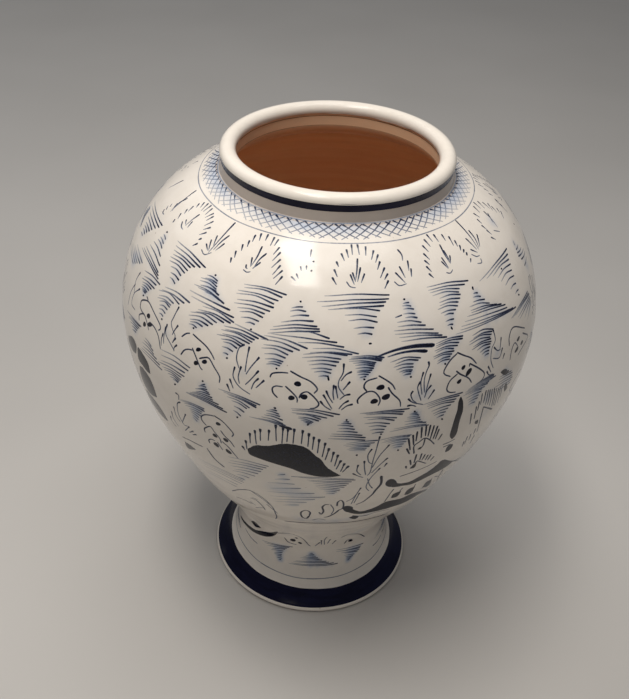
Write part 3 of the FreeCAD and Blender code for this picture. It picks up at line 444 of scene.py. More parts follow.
    (0.85, 0.7, 0.9, 0.75, [(-26.1, 235.0), (-23.8, 233.3), (-21.9, 229.6), (-20.9, 226.7), (-21.4, 223.8)]),
    (0.85, 0.7, 0.9, 0.75, [(-29.7, 217.8), (-29.8, 220.6), (-28.6, 223.7), (-27.5, 225.1), (-26.6, 222.1), (-25.2, 218.0), (-25.0, 214.3)]),
    (0.85, 0.7, 0.9, 0.75, [(-24.5, 225.4), (-23.6, 222.3), (-22.0, 219.0), (-21.1, 215.3)]),
    (0.85, 0.7, 0.9, 0.75, [(-29.0, 209.0), (-29.1, 211.7), (-28.1, 213.9), (-27.0, 214.0)]),
    (0.85, 0.7, 0.9, 0.75, [(-24.6, 216.1), (-22.9, 213.2), (-21.5, 208.4), (-20.6, 205.0)]),
    (0.85, 0.7, 0.9, 0.75, [(-26.2, 213.6), (-25.0, 207.9)]),
    (0.85, 0.7, 0.9, 0.75, [(-29.0, 150.9), (-24.1, 161.5), (-19.8, 167.1), (-16.2, 161.2), (-13.7, 149.1), (-13.2, 134.5)]),
    (0.85, 0.7, 0.9, 0.75, [(-29.0, 141.3), (-25.2, 143.3), (-22.1, 141.8)]),
    (0.85, 0.7, 0.9, 0.75, [(-21.4, 153.1), (-19.2, 152.4), (-17.7, 145.2), (-17.2, 138.6)]),
    (0.85, 0.7, 0.9, 0.75, [(-20.9, 71.0), (-11.9, 80.0), (-6.0, 75.7), (-0.9, 63.2), (0.9, 60.3)]),
    (0.85, 0.7, 0.9, 0.75, [(-16.9, 66.3), (-14.5, 60.6), (-8.8, 59.8)]),
    (0.85, 0.7, 0.9, 0.75, [(20.2, 73.0), (23.9, 77.4), (33.4, 68.7), (42.3, 56.9)]),
    (0.85, 0.7, 0.9, 0.75, [(25.0, 59.3), (26.3, 64.0), (30.4, 62.7)]),
    (-1.1, 0.5, 0.95, 0.5, [(-63.8, 319.6), (-63.4, 317.8)]),
    (-1.1, 0.5, 0.95, 0.5, [(-63.9, 324.2), (-62.9, 321.3)]),
    (-1.1, 0.5, 0.95, 0.5, [(-63.2, 328.3), (-62.4, 325.8)]),
    (-1.1, 0.5, 0.95, 0.5, [(-62.2, 331.9), (-61.8, 328.1)]),
    (-1.1, 0.5, 0.95, 0.5, [(-61.3, 335.3), (-60.5, 332.8)]),
    (-1.1, 0.5, 0.95, 0.5, [(-59.8, 337.7), (-58.8, 334.4)]),
    (-1.1, 0.5, 0.95, 0.5, [(-57.7, 338.9), (-57.0, 333.7)]),
    (-1.1, 0.5, 0.95, 0.5, [(-55.5, 339.3), (-55.7, 334.0)]),
    (-1.1, 0.5, 0.95, 0.5, [(-53.6, 338.5), (-53.6, 333.6)]),
    (-1.1, 0.5, 0.95, 0.5, [(-50.9, 336.8), (-52.4, 332.4)]),
    (-1.1, 0.5, 0.95, 0.5, [(-49.7, 335.5), (-50.8, 331.5)]),
    (-1.1, 0.5, 0.95, 0.5, [(-47.8, 333.3), (-49.6, 328.8)]),
    (-1.1, 0.5, 0.95, 0.5, [(-46.7, 329.8), (-48.7, 326.8)]),
    (-1.1, 0.5, 0.95, 0.5, [(-46.6, 326.5), (-48.5, 323.5)]),
    (-1.1, 0.5, 0.95, 0.5, [(-46.6, 322.5), (-47.3, 321.2)]),
    (-1.1, 0.5, 0.95, 0.5, [(-46.6, 319.2), (-47.8, 316.8)]),
    (-1.1, 0.5, 0.95, 0.5, [(-32.0, 321.1), (-31.4, 318.6)]),
    (-1.1, 0.5, 0.95, 0.5, [(-31.7, 325.2), (-31.0, 321.8)]),
    (-1.1, 0.5, 0.95, 0.5, [(-30.7, 329.7), (-30.0, 326.4)]),
    (-1.1, 0.5, 0.95, 0.5, [(-29.3, 332.9), (-28.8, 329.5)]),
    (-1.1, 0.5, 0.95, 0.5, [(-28.4, 336.9), (-28.1, 333.0)]),
    (-1.1, 0.5, 0.95, 0.5, [(-26.6, 338.7), (-25.9, 334.7)]),
    (-1.1, 0.5, 0.95, 0.5, [(-23.9, 339.4), (-23.8, 335.7)]),
    (-1.1, 0.5, 0.95, 0.5, [(-21.1, 338.7), (-21.2, 333.7)]),
    (-1.1, 0.5, 0.95, 0.5, [(-19.3, 338.1), (-19.8, 334.3)]),
    (-1.1, 0.5, 0.95, 0.5, [(-17.8, 333.9), (-18.9, 329.5)]),
    (-1.1, 0.5, 0.95, 0.5, [(-16.8, 331.4), (-18.4, 326.2)]),
    (-1.1, 0.5, 0.95, 0.5, [(-16.0, 327.7), (-17.9, 322.6)]),
    (-1.1, 0.5, 0.95, 0.5, [(-15.4, 324.6), (-16.9, 319.2)]),
    (-1.1, 0.5, 0.95, 0.5, [(-14.3, 322.3), (-16.3, 317.4)]),
    (-1.1, 0.5, 0.95, 0.5, [(-13.8, 319.3), (-15.2, 314.6)]),
    (-1.1, 0.5, 0.95, 0.5, [(1.2, 322.0), (2.5, 318.5)]),
    (-1.1, 0.5, 0.95, 0.5, [(1.7, 326.1), (2.7, 322.5)]),
    (-1.1, 0.5, 0.95, 0.5, [(2.3, 330.4), (3.0, 327.8)]),
    (-1.1, 0.5, 0.95, 0.5, [(3.9, 334.9), (4.9, 331.1)]),
    (-1.1, 0.5, 0.95, 0.5, [(5.7, 337.2), (6.3, 332.8)]),
    (-1.1, 0.5, 0.95, 0.5, [(7.6, 340.0), (7.7, 334.4)]),
    (-1.1, 0.5, 0.95, 0.5, [(9.8, 340.0), (10.1, 334.3)]),
    (-1.1, 0.5, 0.95, 0.5, [(12.7, 338.7), (12.3, 333.7)]),
    (-1.1, 0.5, 0.95, 0.5, [(15.3, 336.2), (14.0, 331.3)]),
    (-1.1, 0.5, 0.95, 0.5, [(16.6, 333.8), (15.2, 329.6)]),
    (-1.1, 0.5, 0.95, 0.5, [(16.7, 329.9), (15.4, 325.8)]),
    (-1.1, 0.5, 0.95, 0.5, [(17.8, 326.5), (15.9, 321.5)]),
    (-1.1, 0.5, 0.95, 0.5, [(18.4, 323.2), (17.1, 320.4)]),
    (-1.1, 0.5, 0.95, 0.5, [(18.2, 319.7), (16.7, 315.9)]),
    (-1.1, 0.5, 0.95, 0.5, [(38.1, 339.5), (38.7, 334.9)]),
    (-1.1, 0.5, 0.95, 0.5, [(40.9, 338.2), (41.0, 333.7)]),
    (-1.1, 0.5, 0.95, 0.5, [(44.2, 336.6), (44.0, 332.8)]),
    (-1.1, 0.5, 0.95, 0.5, [(46.4, 334.0), (45.8, 328.7)]),
    (-1.1, 0.5, 0.95, 0.5, [(47.6, 330.8), (47.1, 327.3)]),
    (-1.1, 0.5, 0.95, 0.5, [(48.2, 327.3), (47.3, 324.8)]),
    (-1.1, 0.5, 0.95, 0.5, [(48.7, 324.5), (47.9, 323.2)]),
    (-1.1, 0.5, 0.95, 0.5, [(49.0, 322.4), (48.5, 321.0)]),
    (-1.1, 0.5, 0.95, 0.5, [(35.9, 337.3), (36.8, 332.7)]),
    (-1.1, 0.5, 0.95, 0.5, [(34.0, 334.4), (35.0, 330.4)]),
    (-1.1, 0.5, 0.95, 0.5, [(32.9, 330.1), (34.0, 326.3)]),
    (-1.1, 0.5, 0.95, 0.5, [(32.1, 326.5), (33.2, 323.8)]),
    (-1.1, 0.5, 0.95, 0.5, [(31.9, 323.2), (32.9, 320.1)]),
    (-1.1, 0.5, 0.95, 0.5, [(31.8, 319.4), (32.8, 316.9)]),
    (-1.1, 0.5, 0.95, 0.5, [(73.7, 338.9), (73.3, 334.0)]),
    (-1.1, 0.5, 0.95, 0.5, [(76.5, 337.0), (75.5, 331.9)]),
    (-1.1, 0.5, 0.95, 0.5, [(78.5, 334.0), (78.2, 329.0)]),
    (-1.1, 0.5, 0.95, 0.5, [(80.6, 330.8), (78.6, 326.8)]),
    (-1.1, 0.5, 0.95, 0.5, [(80.8, 327.9), (79.8, 323.9)]),
    (-1.1, 0.5, 0.95, 0.5, [(82.6, 324.2), (81.7, 321.8)]),
    (-1.1, 0.5, 0.95, 0.5, [(83.2, 321.0), (80.5, 318.3)]),
    (-1.1, 0.5, 0.95, 0.5, [(71.0, 337.9), (70.4, 333.4)]),
    (-1.1, 0.5, 0.95, 0.5, [(66.9, 335.8), (67.7, 332.0)]),
    (-1.1, 0.5, 0.95, 0.5, [(65.5, 332.3), (65.6, 329.2)]),
    (-1.1, 0.5, 0.95, 0.5, [(64.7, 328.5), (65.3, 324.4)]),
    (-1.1, 0.5, 0.95, 0.5, [(64.9, 324.8), (65.6, 321.3)]),
    (-1.1, 0.5, 0.95, 0.5, [(64.2, 320.5), (65.6, 317.9)]),
    (-1.7, 0.62, 1, 0.75, [(-15.1, 234.1), (-14.8, 223.8)]),
    (-1.7, 0.62, 1, 0.75, [(-13.7, 236.1), (-13.7, 227.5)]),
    (-1.7, 0.62, 1, 0.75, [(-11.5, 236.8), (-11.7, 229.0)]),
    (-1.7, 0.62, 1, 0.75, [(-9.9, 241.2), (-9.7, 229.8)]),
    (-1.7, 0.62, 1, 0.75, [(-8.1, 240.4), (-8.3, 228.6)]),
    (-1.7, 0.62, 1, 0.75, [(-6.9, 240.2), (-7.1, 230.5)]),
    (-1.7, 0.62, 1, 0.75, [(-5.4, 240.6), (-5.6, 230.0)]),
    (-1.7, 0.62, 1, 0.75, [(-3.4, 240.3), (-3.6, 230.5)]),
    (-1.7, 0.62, 1, 0.75, [(-1.9, 238.7), (-2.0, 229.1)]),
    (-1.7, 0.62, 1, 0.75, [(-0.7, 236.5), (-0.9, 227.1)]),
    (-1.7, 0.62, 1, 0.75, [(0.6, 235.1), (0.4, 224.6)]),
    (-1.7, 0.62, 1, 0.75, [(2.1, 232.7), (1.6, 221.5)]),
    (-1.7, 0.62, 1, 0.75, [(3.1, 228.7), (2.4, 219.1)]),
    (-1.7, 0.62, 1, 0.75, [(4.3, 226.0), (3.9, 217.5)]),
    (-1.7, 0.62, 1, 0.75, [(5.4, 223.7), (4.9, 213.9)]),
    (-1.7, 0.62, 1, 0.75, [(6.3, 219.0), (5.4, 211.1)]),
    (-1.7, 0.62, 1, 0.75, [(7.3, 216.3), (6.6, 208.7)]),
    (-1.7, 0.62, 1, 0.75, [(8.4, 213.9), (7.1, 208.2)]),
    (-1.7, 0.62, 1, 0.75, [(-18.7, 218.6), (-18.1, 215.7)]),
    (-1.7, 0.62, 1, 0.75, [(-17.6, 224.3), (-17.5, 217.2)]),
    (-1.7, 0.62, 1, 0.75, [(-16.4, 231.1), (-16.4, 223.3)]),
    (1.5, 2.2, 1, 1, [(-8.9, 241.4), (-7.3, 240.8), (-6.1, 240.3)]),
    (1.25, 0.8, 1, 0.9, [(25.6, 238.1), (26.1, 229.7)]),
    (1.25, 0.8, 1, 0.9, [(26.8, 238.7), (27.2, 230.4)]),
    (1.25, 0.8, 1, 0.9, [(28.0, 237.9), (28.0, 229.4)]),
    (1.25, 0.8, 1, 0.9, [(29.1, 236.7), (28.9, 226.7)]),
    (1.25, 0.8, 1, 0.9, [(30.2, 235.5), (29.8, 225.9)]),
    (1.25, 0.8, 1, 0.9, [(30.9, 232.7), (30.5, 225.3)]),
    (1.25, 0.8, 1, 0.9, [(32.3, 227.6), (31.6, 223.5)]),
    (1.25, 0.8, 1, 0.9, [(24.6, 235.5), (24.8, 228.2)]),
    (1.25, 0.8, 1, 0.9, [(23.6, 233.6), (24.4, 225.3)]),
    (1.25, 0.8, 1, 0.9, [(22.6, 231.2), (23.8, 221.6)]),
    (1.25, 0.8, 1, 0.9, [(22.7, 223.6), (24.0, 218.0)]),
    (1.25, 0.8, 1, 0.9, [(27.8, 215.3), (27.9, 209.2)]),
    (1.25, 0.8, 1, 0.9, [(29.0, 213.3), (28.7, 208.4)]),
    (1.25, 0.8, 1, 0.9, [(30.1, 211.8), (29.8, 207.3)]),
    (1.25, 0.8, 1, 0.9, [(31.1, 211.2), (30.7, 206.3)]),
    (1.25, 0.8, 1, 0.9, [(32.5, 207.7), (31.9, 204.5)]),
    (1.25, 0.8, 1, 0.9, [(26.2, 215.9), (26.4, 207.7)]),
    (1.25, 0.8, 1, 0.9, [(24.8, 211.9), (25.7, 206.3)]),
    (1.25, 0.8, 1, 0.9, [(24.2, 206.6), (24.7, 203.6)]),
    (0.9, 0.7, 0.95, 0.8, [(25.3, 217.5), (24.6, 224.3), (25.8, 226.8), (27.2, 228.8), (29.0, 225.8), (30.8, 220.8)]),
    (0.9, 0.7, 0.95, 0.8, [(27.3, 228.4), (27.2, 222.4), (26.1, 220.3)]),
    (0.9, 0.7, 0.95, 0.8, [(25.9, 202.5), (26.9, 204.2), (27.2, 208.9), (30.8, 202.7)]),
    (0.9, 0.7, 0.95, 0.8, [(23.8, 195.9), (27.3, 196.9), (31.5, 198.2), (34.8, 199.9)]),
    (0.9, 0.7, 0.95, 0.8, [(37.8, 197.5), (43.4, 187.3), (54.3, 171.2), (56.1, 177.3), (55.6, 190.4)]),
    (0.9, 0.7, 0.95, 0.8, [(41.6, 180.1), (44.5, 164.6), (51.5, 141.2), (44.5, 146.4)]),
    (0.9, 0.7, 0.95, 0.8, [(34.0, 217.2), (35.8, 216.9), (37.8, 217.5)]),
    (0.9, 0.7, 0.95, 0.8, [(34.5, 214.3), (36.9, 214.3)]),
    (1.1, 0.7, 0.95, 0.8, [(50.7, 225.5), (45.5, 234.0)]),
    (1.1, 0.7, 0.95, 0.8, [(45.5, 233.8), (46.1, 223.0), (47.8, 210.2)]),
    (1.1, 0.7, 0.95, 0.8, [(42.3, 237.9), (42.9, 227.9)]),
    (1.1, 0.7, 0.95, 0.8, [(41.0, 234.2), (41.8, 225.2)]),
    (1.1, 0.7, 0.95, 0.8, [(45.1, 245.8), (44.9, 237.7)]),
    (1.1, 0.7, 0.95, 0.8, [(46.8, 244.6), (47.2, 233.6)]),
    (1.1, 0.7, 0.95, 0.8, [(48.7, 243.2), (49.8, 228.7)]),
    (1.1, 0.7, 0.95, 0.8, [(50.8, 240.7), (51.5, 227.2)]),
    (1.1, 0.7, 0.95, 0.8, [(43.1, 240.5), (43.2, 233.9)]),
    (1.1, 0.7, 0.95, 0.8, [(45.9, 216.0), (46.3, 210.2)]),
    (1.1, 0.7, 0.95, 0.8, [(44.6, 213.1), (45.5, 205.7)]),
    (1.1, 0.7, 0.95, 0.8, [(47.2, 208.3), (48.0, 198.3)]),
    (1.1, 0.7, 0.95, 0.8, [(43.3, 212.7), (44.1, 204.0)]),
    (1.1, 0.7, 0.95, 0.8, [(42.8, 208.8), (43.6, 202.8)]),
    (0.75, 0.6, 0.7, 0.6, [(-20.6, 155.3), (-18.5, 154.5)]),
    (0.75, 0.6, 0.7, 0.6, [(-22.6, 145.2), (-20.7, 141.4)]),
    (0.75, 0.6, 0.7, 0.6, [(-21.3, 136.8), (-17.0, 142.6)]),
    (0.75, 0.6, 0.7, 0.6, [(-15.5, 151.1), (-12.3, 138.6)]),
    (0.75, 0.6, 0.7, 0.6, [(-19.9, 167.7), (-17.2, 160.7), (-14.0, 151.2)]),
    (0.75, 0.6, 0.7, 0.6, [(-13.4, 139.2), (-13.3, 131.1), (-14.4, 123.5)]),
    (1, 1.2, 0.85, 0.95, [(-0.7, 144.1), (-0.5, 150.9), (-1.9, 153.9), (-3.6, 149.1), (-3.3, 140.5), (-1.7, 138.4), (-0.7, 144.1)]),
    (1, 1.2, 0.85, 0.95, [(2.5, 152.0), (3.3, 148.3), (3.9, 154.2), (3.3, 161.6), (4.1, 166.2), (5.2, 166.4)]),
    (1, 1.2, 0.85, 0.95, [(7.8, 163.6), (7.7, 170.5), (8.7, 172.9), (9.7, 166.8), (9.9, 158.6), (8.9, 156.0), (7.9, 150.4), (5.9, 143.7), (4.5, 142.7)]),
    (1.2, 1.6, 0.85, 1, [(-10.5, 124.2), (-4.1, 127.5), (5.6, 129.9), (15.6, 128.6), (23.8, 127.6), (32.2, 125.6)]),
    (0.9, 1.4, 0.8, 1, [(14.7, 143.0), (18.1, 139.5), (20.9, 138.9)]),
    (1, 1.8, 0.9, 0.8, [(-30.8, 201.6), (-29.1, 192.9), (-26.6, 187.9)]),
    (0.9, 1, 0.9, 0.9, [(-41.1, 196.1), (-37.3, 198.7), (-32.5, 200.5)]),
    (0.8, 0.8, 0.8, 0.6, [(-59.0, 40.1), (-51.1, 38.9), (-42.4, 39.0)]),
    (0.6, 0.7, 0.6, 0.6, [(-6.0, 199.9), (1.7, 202.0), (10.5, 200.4)]),
    (0.5, 1.05, 0.3, 0.9, [(-40.0, 297.0), (-32.7, 297.1), (-25.8, 296.4)]),
    (0.5, 1.05, 0.3, 0.9, [(-38.7, 294.7), (-31.1, 294.6), (-24.2, 293.5)]),
    (0.5, 1.05, 0.3, 0.9, [(-23.5, 290.8), (-18.5, 289.4), (-13.8, 287.3)]),
    (0.9, 0.6, 0.95, 0.7, [(43.7, 245.3), (43.8, 237.6)]),
    (0.9, 0.6, 0.95, 0.7, [(46.0, 245.2), (46.1, 234.9)]),
    (0.9, 0.6, 0.95, 0.7, [(47.7, 243.9), (48.4, 231.3)]),
    (0.9, 0.6, 0.95, 0.7, [(49.7, 242.0), (50.6, 228.0)]),
    (0.9, 0.6, 0.95, 0.7, [(51.6, 241.0), (52.8, 227.6)]),
    (0.9, 0.6, 0.95, 0.7, [(52.5, 241.3), (53.3, 230.8)]),
    (0.9, 0.5, 0.9, 0.6, [(44.1, 185.5), (47.8, 182.5), (52.2, 178.9), (54.6, 181.4), (54.1, 190.4)]),
    (1.8, 1, 1, 0.8, [(17.9, 200.7), (18.7, 191.3), (17.9, 183.3), (17.5, 178.0), (15.9, 168.5), (13.9, 164.2)]),
    (0.8, 0.7, 0.85, 0.75, [(24.0, 180.0), (23.8, 170.7), (24.0, 159.5)]),
    (0.8, 0.7, 0.85, 0.75, [(27.3, 177.7), (27.1, 172.8)]),
    (0.8, 0.7, 0.85, 0.75, [(32.1, 176.0), (32.4, 170.6), (32.7, 158.9)]),
    (0.8, 0.7, 0.85, 0.75, [(39.2, 173.0), (40.1, 161.9), (38.3, 158.9)]),
    (0.8, 0.7, 0.85, 0.75, [(40.1, 173.5), (43.1, 168.7), (45.0, 168.5)]),
    (0.8, 0.7, 0.85, 0.75, [(20.5, 139.3), (24.1, 141.2), (29.8, 138.9)]),
    (0.8, 0.7, 0.85, 0.75, [(24.7, 128.8), (28.5, 127.7), (32.1, 131.3)]),
    (0.7, 0.6, 0.7, 0.6, [(16.7, 186.8), (15.3, 192.4), (14.2, 199.9)]),
    (0.7, 0.6, 0.7, 0.6, [(10.3, 170.8), (11.8, 175.2), (12.7, 182.9)]),
    (0.7, 0.6, 0.7, 0.6, [(5.7, 166.4), (7.1, 157.2), (6.8, 148.6)]),
    (0.7, 0.6, 0.7, 0.6, [(0.5, 136.3), (2.7, 139.2), (5.3, 137.4)]),
    (0.7, 2.6, 0.75, 1, [(12.2, 281.9), (15.3, 284.1), (19.1, 285.6), (23.5, 285.7), (28.3, 284.3)]),
    (0.6, 1.9, 0.6, 1, [(15.9, 282.3), (19.1, 283.5), (22.6, 283.5), (26.2, 282.1)]),
    (0.6, 0.8, 0.5, 0.8, [(18.6, 301.2), (20.5, 302.0)]),
]
DOTS = [
    (-52.0, 270.0, 2.0, 1.4, 21),
    (-53.2, 263.4, 1.9, 1.4, 33),
    (-50.7, 266.2, 2.7, 1.3, -149),
    (-31.9, 270.8, 1.8, 1.1, -151),
    (-32.0, 263.0, 1.9, 1.2, -148),
    (-29.6, 265.8, 1.8, 1.2, -146),
    (-5.4, 267.6, 1.9, 1.4, -173),
    (-6.6, 259.4, 1.7, 1.4, -162),
    (-3.7, 260.9, 2.0, 1.5, -174),
    (14.2, 266.7, 2.2, 1.5, -166),
    (12.8, 259.2, 2.0, 1.5, -169),
    (15.6, 261.1, 2.4, 1.6, -154),
    (36.5, 267.5, 1.5, 1.1, -142),
    (38.2, 263.6, 2.7, 1.5, -145),
    (35.2, 260.3, 1.6, 1.2, -152),
    (59.4, 262.9, 2.2, 1.2, -177),
    (61.8, 257.7, 2.0, 1.2, 174),
    (58.5, 257.2, 2.7, 1.3, -173),
    (-25.1, 230.0, 1.7, 1.2, -153),
    (-26.6, 218.8, 1.7, 1.5, 152),
    (-23.4, 218.8, 1.8, 1.5, 155),
    (-26.8, 210.5, 2.1, 1.8, 123),
    (-23.2, 208.6, 2.2, 1.7, 126),
    (-62.2, 312.1, 0.8, 0.5, -167),
    (-57.1, 276.7, 0.9, 0.5, -151),
    (-46.2, 274.5, 0.7, 0.5, -152),
    (-34.1, 309.8, 0.6, 0.5, -176),
    (-34.8, 280.3, 0.6, 0.5, -148),
    (-18.8, 290.4, 0.5, 0.5, -165),
    (-23.6, 272.5, 0.6, 0.5, -153),
    (-7.1, 308.6, 0.5, 0.5, 131),
    (11.6, 289.6, 0.8, 0.5, 176),
    (21.9, 309.5, 0.6, 0.5, -175),
    (34.2, 290.1, 1.0, 0.5, 111),
    (44.7, 304.9, 1.0, 0.6, -97),
    (-10.8, 273.9, 0.5, 0.5, -128),
    (1.7, 272.0, 1.4, 0.5, 103),
    (10.2, 271.6, 0.6, 0.5, 154),
    (21.7, 270.3, 0.6, 0.5, 143),
    (31.1, 272.9, 0.7, 0.5, 147),
    (-19.6, 240.0, 0.7, 0.5, -123),
    (-10.3, 251.9, 0.7, 0.6, 163),
    (-2.3, 244.6, 0.8, 0.5, -120),
    (6.6, 248.7, 0.6, 0.5, 93),
    (10.0, 223.4, 0.7, 0.5, 109),
    (15.2, 238.1, 0.6, 0.5, 121),
    (23.1, 249.8, 0.7, 0.5, 135),
    (20.4, 223.8, 0.8, 0.5, 122),
    (31.1, 239.7, 0.9, 0.5, 132),
    (-29.5, 254.5, 0.7, 0.5, -130),
    (-38.5, 242.8, 1.0, 0.5, -139),
    (-5.2, 329.5, 0.5, 0.5, 136),
    (-5.4, 324.6, 0.5, 0.5, 163),
    (59.7, 304.6, 0.7, 0.5, 162),
    (63.4, 285.5, 1.0, 0.5, 155),
    (-11.0, 66.0, 2.6, 2.0, 68),
    (-6.3, 63.5, 1.6, 1.3, 123),
    (-8.4, 71.6, 1.4, 1.0, 100),
    (29.2, 61.3, 2.5, 1.4, 141),
    (22.0, 189.3, 6.5, 3.4, 116),
    (11.8, 157.3, 6.5, 3.1, 102),
]
FILLS = [
    ([(-17.4, 217.3), (-16.6, 219.3), (-15.0, 222.8), (-12.1, 224.4), (-8.8, 228.0), (-5.9, 229.4), (-3.2, 228.7), (-1.4, 226.1), (0.1, 222.0), (1.5, 218.9), (3.3, 211.9), (6.9, 204.6)],
     [(-17.4, 217.3), (-16.8, 213.1), (-13.6, 211.5), (-8.9, 209.7), (-5.9, 208.2), (-3.7, 205.8), (-1.5, 204.2), (1.0, 203.0), (2.4, 202.9), (4.1, 203.0), (5.5, 203.6), (6.9, 204.6)]),
    ([(36.0, 250.7), (36.9, 246.9), (37.4, 240.4), (37.2, 235.3), (37.2, 230.9), (37.5, 221.8), (36.6, 218.7)],
     [(36.0, 250.7), (35.5, 248.1), (35.5, 242.2), (35.2, 237.2), (35.1, 232.2), (35.2, 223.8), (36.6, 218.7)]),
    ([(36.1, 207.5), (36.0, 212.6), (36.9, 214.0), (38.1, 212.5)],
     [(36.1, 207.5), (37.5, 207.2), (38.2, 209.4), (38.1, 212.5)]),
    ([(25.9, 220.7), (26.4, 221.9), (27.3, 222.5)],
     [(25.9, 220.7), (26.8, 220.2), (27.3, 222.5)]),
    ([(21.6, 193.1), (24.1, 187.5), (25.8, 185.4), (28.5, 184.5), (31.0, 187.1), (33.4, 189.6), (35.5, 193.8), (37.0, 198.1), (39.7, 194.2), (43.8, 186.6)],
     [(22.8, 183.4), (24.9, 181.9), (26.4, 181.6), (29.4, 179.6), (32.3, 180.1), (35.1, 181.5), (38.0, 182.2), (40.7, 182.2), (42.6, 182.6), (44.3, 184.7)]),
    ([(11.2, 162.8), (13.9, 155.0), (16.9, 149.7), (19.7, 150.6), (22.3, 153.8), (24.5, 158.5), (27.7, 157.6), (31.4, 155.5), (34.4, 156.9), (38.9, 153.5), (46.2, 144.3)],
     [(12.2, 151.2), (14.7, 147.0), (17.5, 144.4), (20.6, 144.0), (24.0, 143.4), (27.3, 142.9), (30.9, 142.3), (35.0, 140.7), (38.9, 140.7), (42.2, 143.3), (49.9, 135.1)]),
    ([(25.4, 164.1), (25.3, 171.2), (27.8, 172.3)],
     [(25.4, 164.1), (27.8, 163.5), (27.8, 172.3)]),
    ([(30.7, 161.7), (30.4, 170.6), (32.8, 172.2)],
     [(30.7, 161.7), (33.6, 160.3), (32.8, 172.2)]),
    ([(38.3, 160.5), (37.5, 170.3), (39.8, 170.5)],
     [(38.3, 160.5), (43.2, 154.3), (39.8, 170.5)]),
    ([(13.7, 139.5), (15.2, 142.1), (17.6, 138.8)],
     [(13.7, 139.5), (16.4, 135.2), (17.6, 138.8)]),
    ([(-41.4, 190.5), (-39.0, 191.8), (-36.3, 190.7)],
     [(-41.4, 190.5), (-41.4, 183.5), (-36.3, 190.7)]),
    ([(25.8, 202.2), (26.3, 205.3), (27.2, 208.3)],
     [(25.8, 202.2), (27.3, 202.3), (27.2, 208.3)]),
    ([(-64.6, 240.4), (-61.0, 245.2), (-58.5, 245.7), (-57.1, 243.5), (-57.9, 237.5)],
     [(-64.6, 240.4), (-65.0, 236.3), (-63.1, 234.7), (-60.7, 235.1), (-57.9, 237.5)]),
    ([(-56.4, 244.2), (-55.0, 245.1), (-52.1, 243.8), (-50.0, 241.1), (-49.5, 235.1)],
     [(-56.4, 244.2), (-56.5, 236.0), (-53.7, 235.1), (-51.4, 234.5), (-49.5, 235.1)]),
    ([(-56.5, 230.9), (-54.0, 232.8), (-50.5, 231.1), (-48.8, 226.0), (-48.5, 218.6)],
     [(-56.5, 230.9), (-57.7, 220.5), (-56.3, 214.7), (-52.8, 214.5), (-48.5, 218.6)]),
    ([(-57.5, 211.0), (-53.3, 212.3), (-49.6, 211.0), (-47.5, 206.2), (-46.8, 200.6)],
     [(-57.5, 211.0), (-58.2, 202.1), (-55.0, 199.8), (-50.7, 199.2), (-46.8, 200.6)]),
    ([(-70.9, 43.3), (-51.0, 50.6), (-43.2, 53.7), (-32.9, 61.3), (-27.0, 65.9), (-20.3, 75.0)],
     [(-71.1, 41.0), (-53.0, 46.2), (-42.6, 49.9), (-32.1, 55.4), (-25.2, 62.6), (-20.7, 72.3)]),
    ([(-47.1, 60.7), (-40.6, 67.1), (-35.5, 63.7)],
     [(-47.1, 60.7), (-42.8, 58.1), (-35.5, 63.7)]),
    ([(55.0, 232.7), (53.9, 238.8), (55.2, 238.9)],
     [(55.0, 232.7), (56.3, 233.4), (55.2, 238.9)]),
    ([(44.0, 222.5), (43.9, 225.0), (45.1, 224.7)],
     [(44.0, 222.5), (45.5, 220.9), (45.1, 224.7)]),
    ([(50.4, 251.8), (52.5, 251.7), (55.3, 246.4)],
     [(50.4, 251.8), (52.9, 247.3), (55.3, 246.4)]),
]
WASHES = [
    (-70.9, 283.3, 3.8, 0.50),
    (71.6, 325.1, 3.0, 0.40),
    (76.5, 289.5, 3.0, 0.40),
    (25.6, 259.9, 3.8, 0.45),
    (3.8, 264.6, 3.0, 0.40),
    (-18.8, 267.7, 2.2, 0.20),
    (23.0, 258.2, 2.2, 0.30),
    (-43.0, 269.4, 2.2, 0.25),
    (48.8, 265.8, 3.0, 0.40),
    (-3.9, 135.8, 4.5, 0.30),
    (2.8, 134.9, 4.5, 0.35),
    (9.1, 134.9, 4.5, 0.35),
    (14.6, 136.9, 3.8, 0.30),
    (19.8, 140.9, 3.8, 0.30),
    (34.4, 190.6, 3.0, 0.30),
    (46.6, 240.1, 3.8, 0.50),
    (47.5, 227.1, 3.8, 0.20),
    (-16.8, 199.2, 3.8, 0.25),
    (-6.5, 179.9, 6.0, 0.35),
    (-10.8, 181.6, 5.2, 0.30),
    (-2.1, 178.5, 5.2, 0.30),
    (31.9, 46.8, 4.5, 0.30),
    (2.4, 43.4, 5.2, 0.35),
    (-21.9, 46.8, 4.5, 0.30),
    (31.7, 78.2, 5.2, 0.30),
    (-4.8, 99.0, 3.8, 0.15),
]


# ------------------------------------------------------------ paint layout
def catmull(points, step=1.3):
    """Smooth line through (theta, s) points, sampled about every step mm."""
    p = np.array(points, float)
    if len(p) == 2:
        d = math.hypot(math.radians(p[1, 0] - p[0, 0]) * np.interp(p[:, 1].mean(), oS, oR), p[1, 1] - p[0, 1])
        n = max(4, int(math.ceil(d / step)) + 1)
        t = np.linspace(0, 1, n)[:, None]
        return p[0] * (1 - t) + p[1] * t
    q = np.vstack([2 * p[0] - p[1], p, 2 * p[-1] - p[-2]])
    out = []
    for i in range(1, len(q) - 2):
        a, b, c, d = q[i - 1], q[i], q[i + 1], q[i + 2]
        ln = math.hypot(math.radians(c[0] - b[0]) * np.interp(b[1], oS, oR), c[1] - b[1])
        n = max(2, int(math.ceil(ln / step)))
        t = (np.arange(n) / n)[:, None]
        out.append(0.5 * (2 * b + (c - a) * t + (2 * a - 5 * b + 4 * c - d) * t**2 + (3 * b - a - 3 * c + d) * t**3))
    out.append(p[-1:])
    return np.vstack(out)


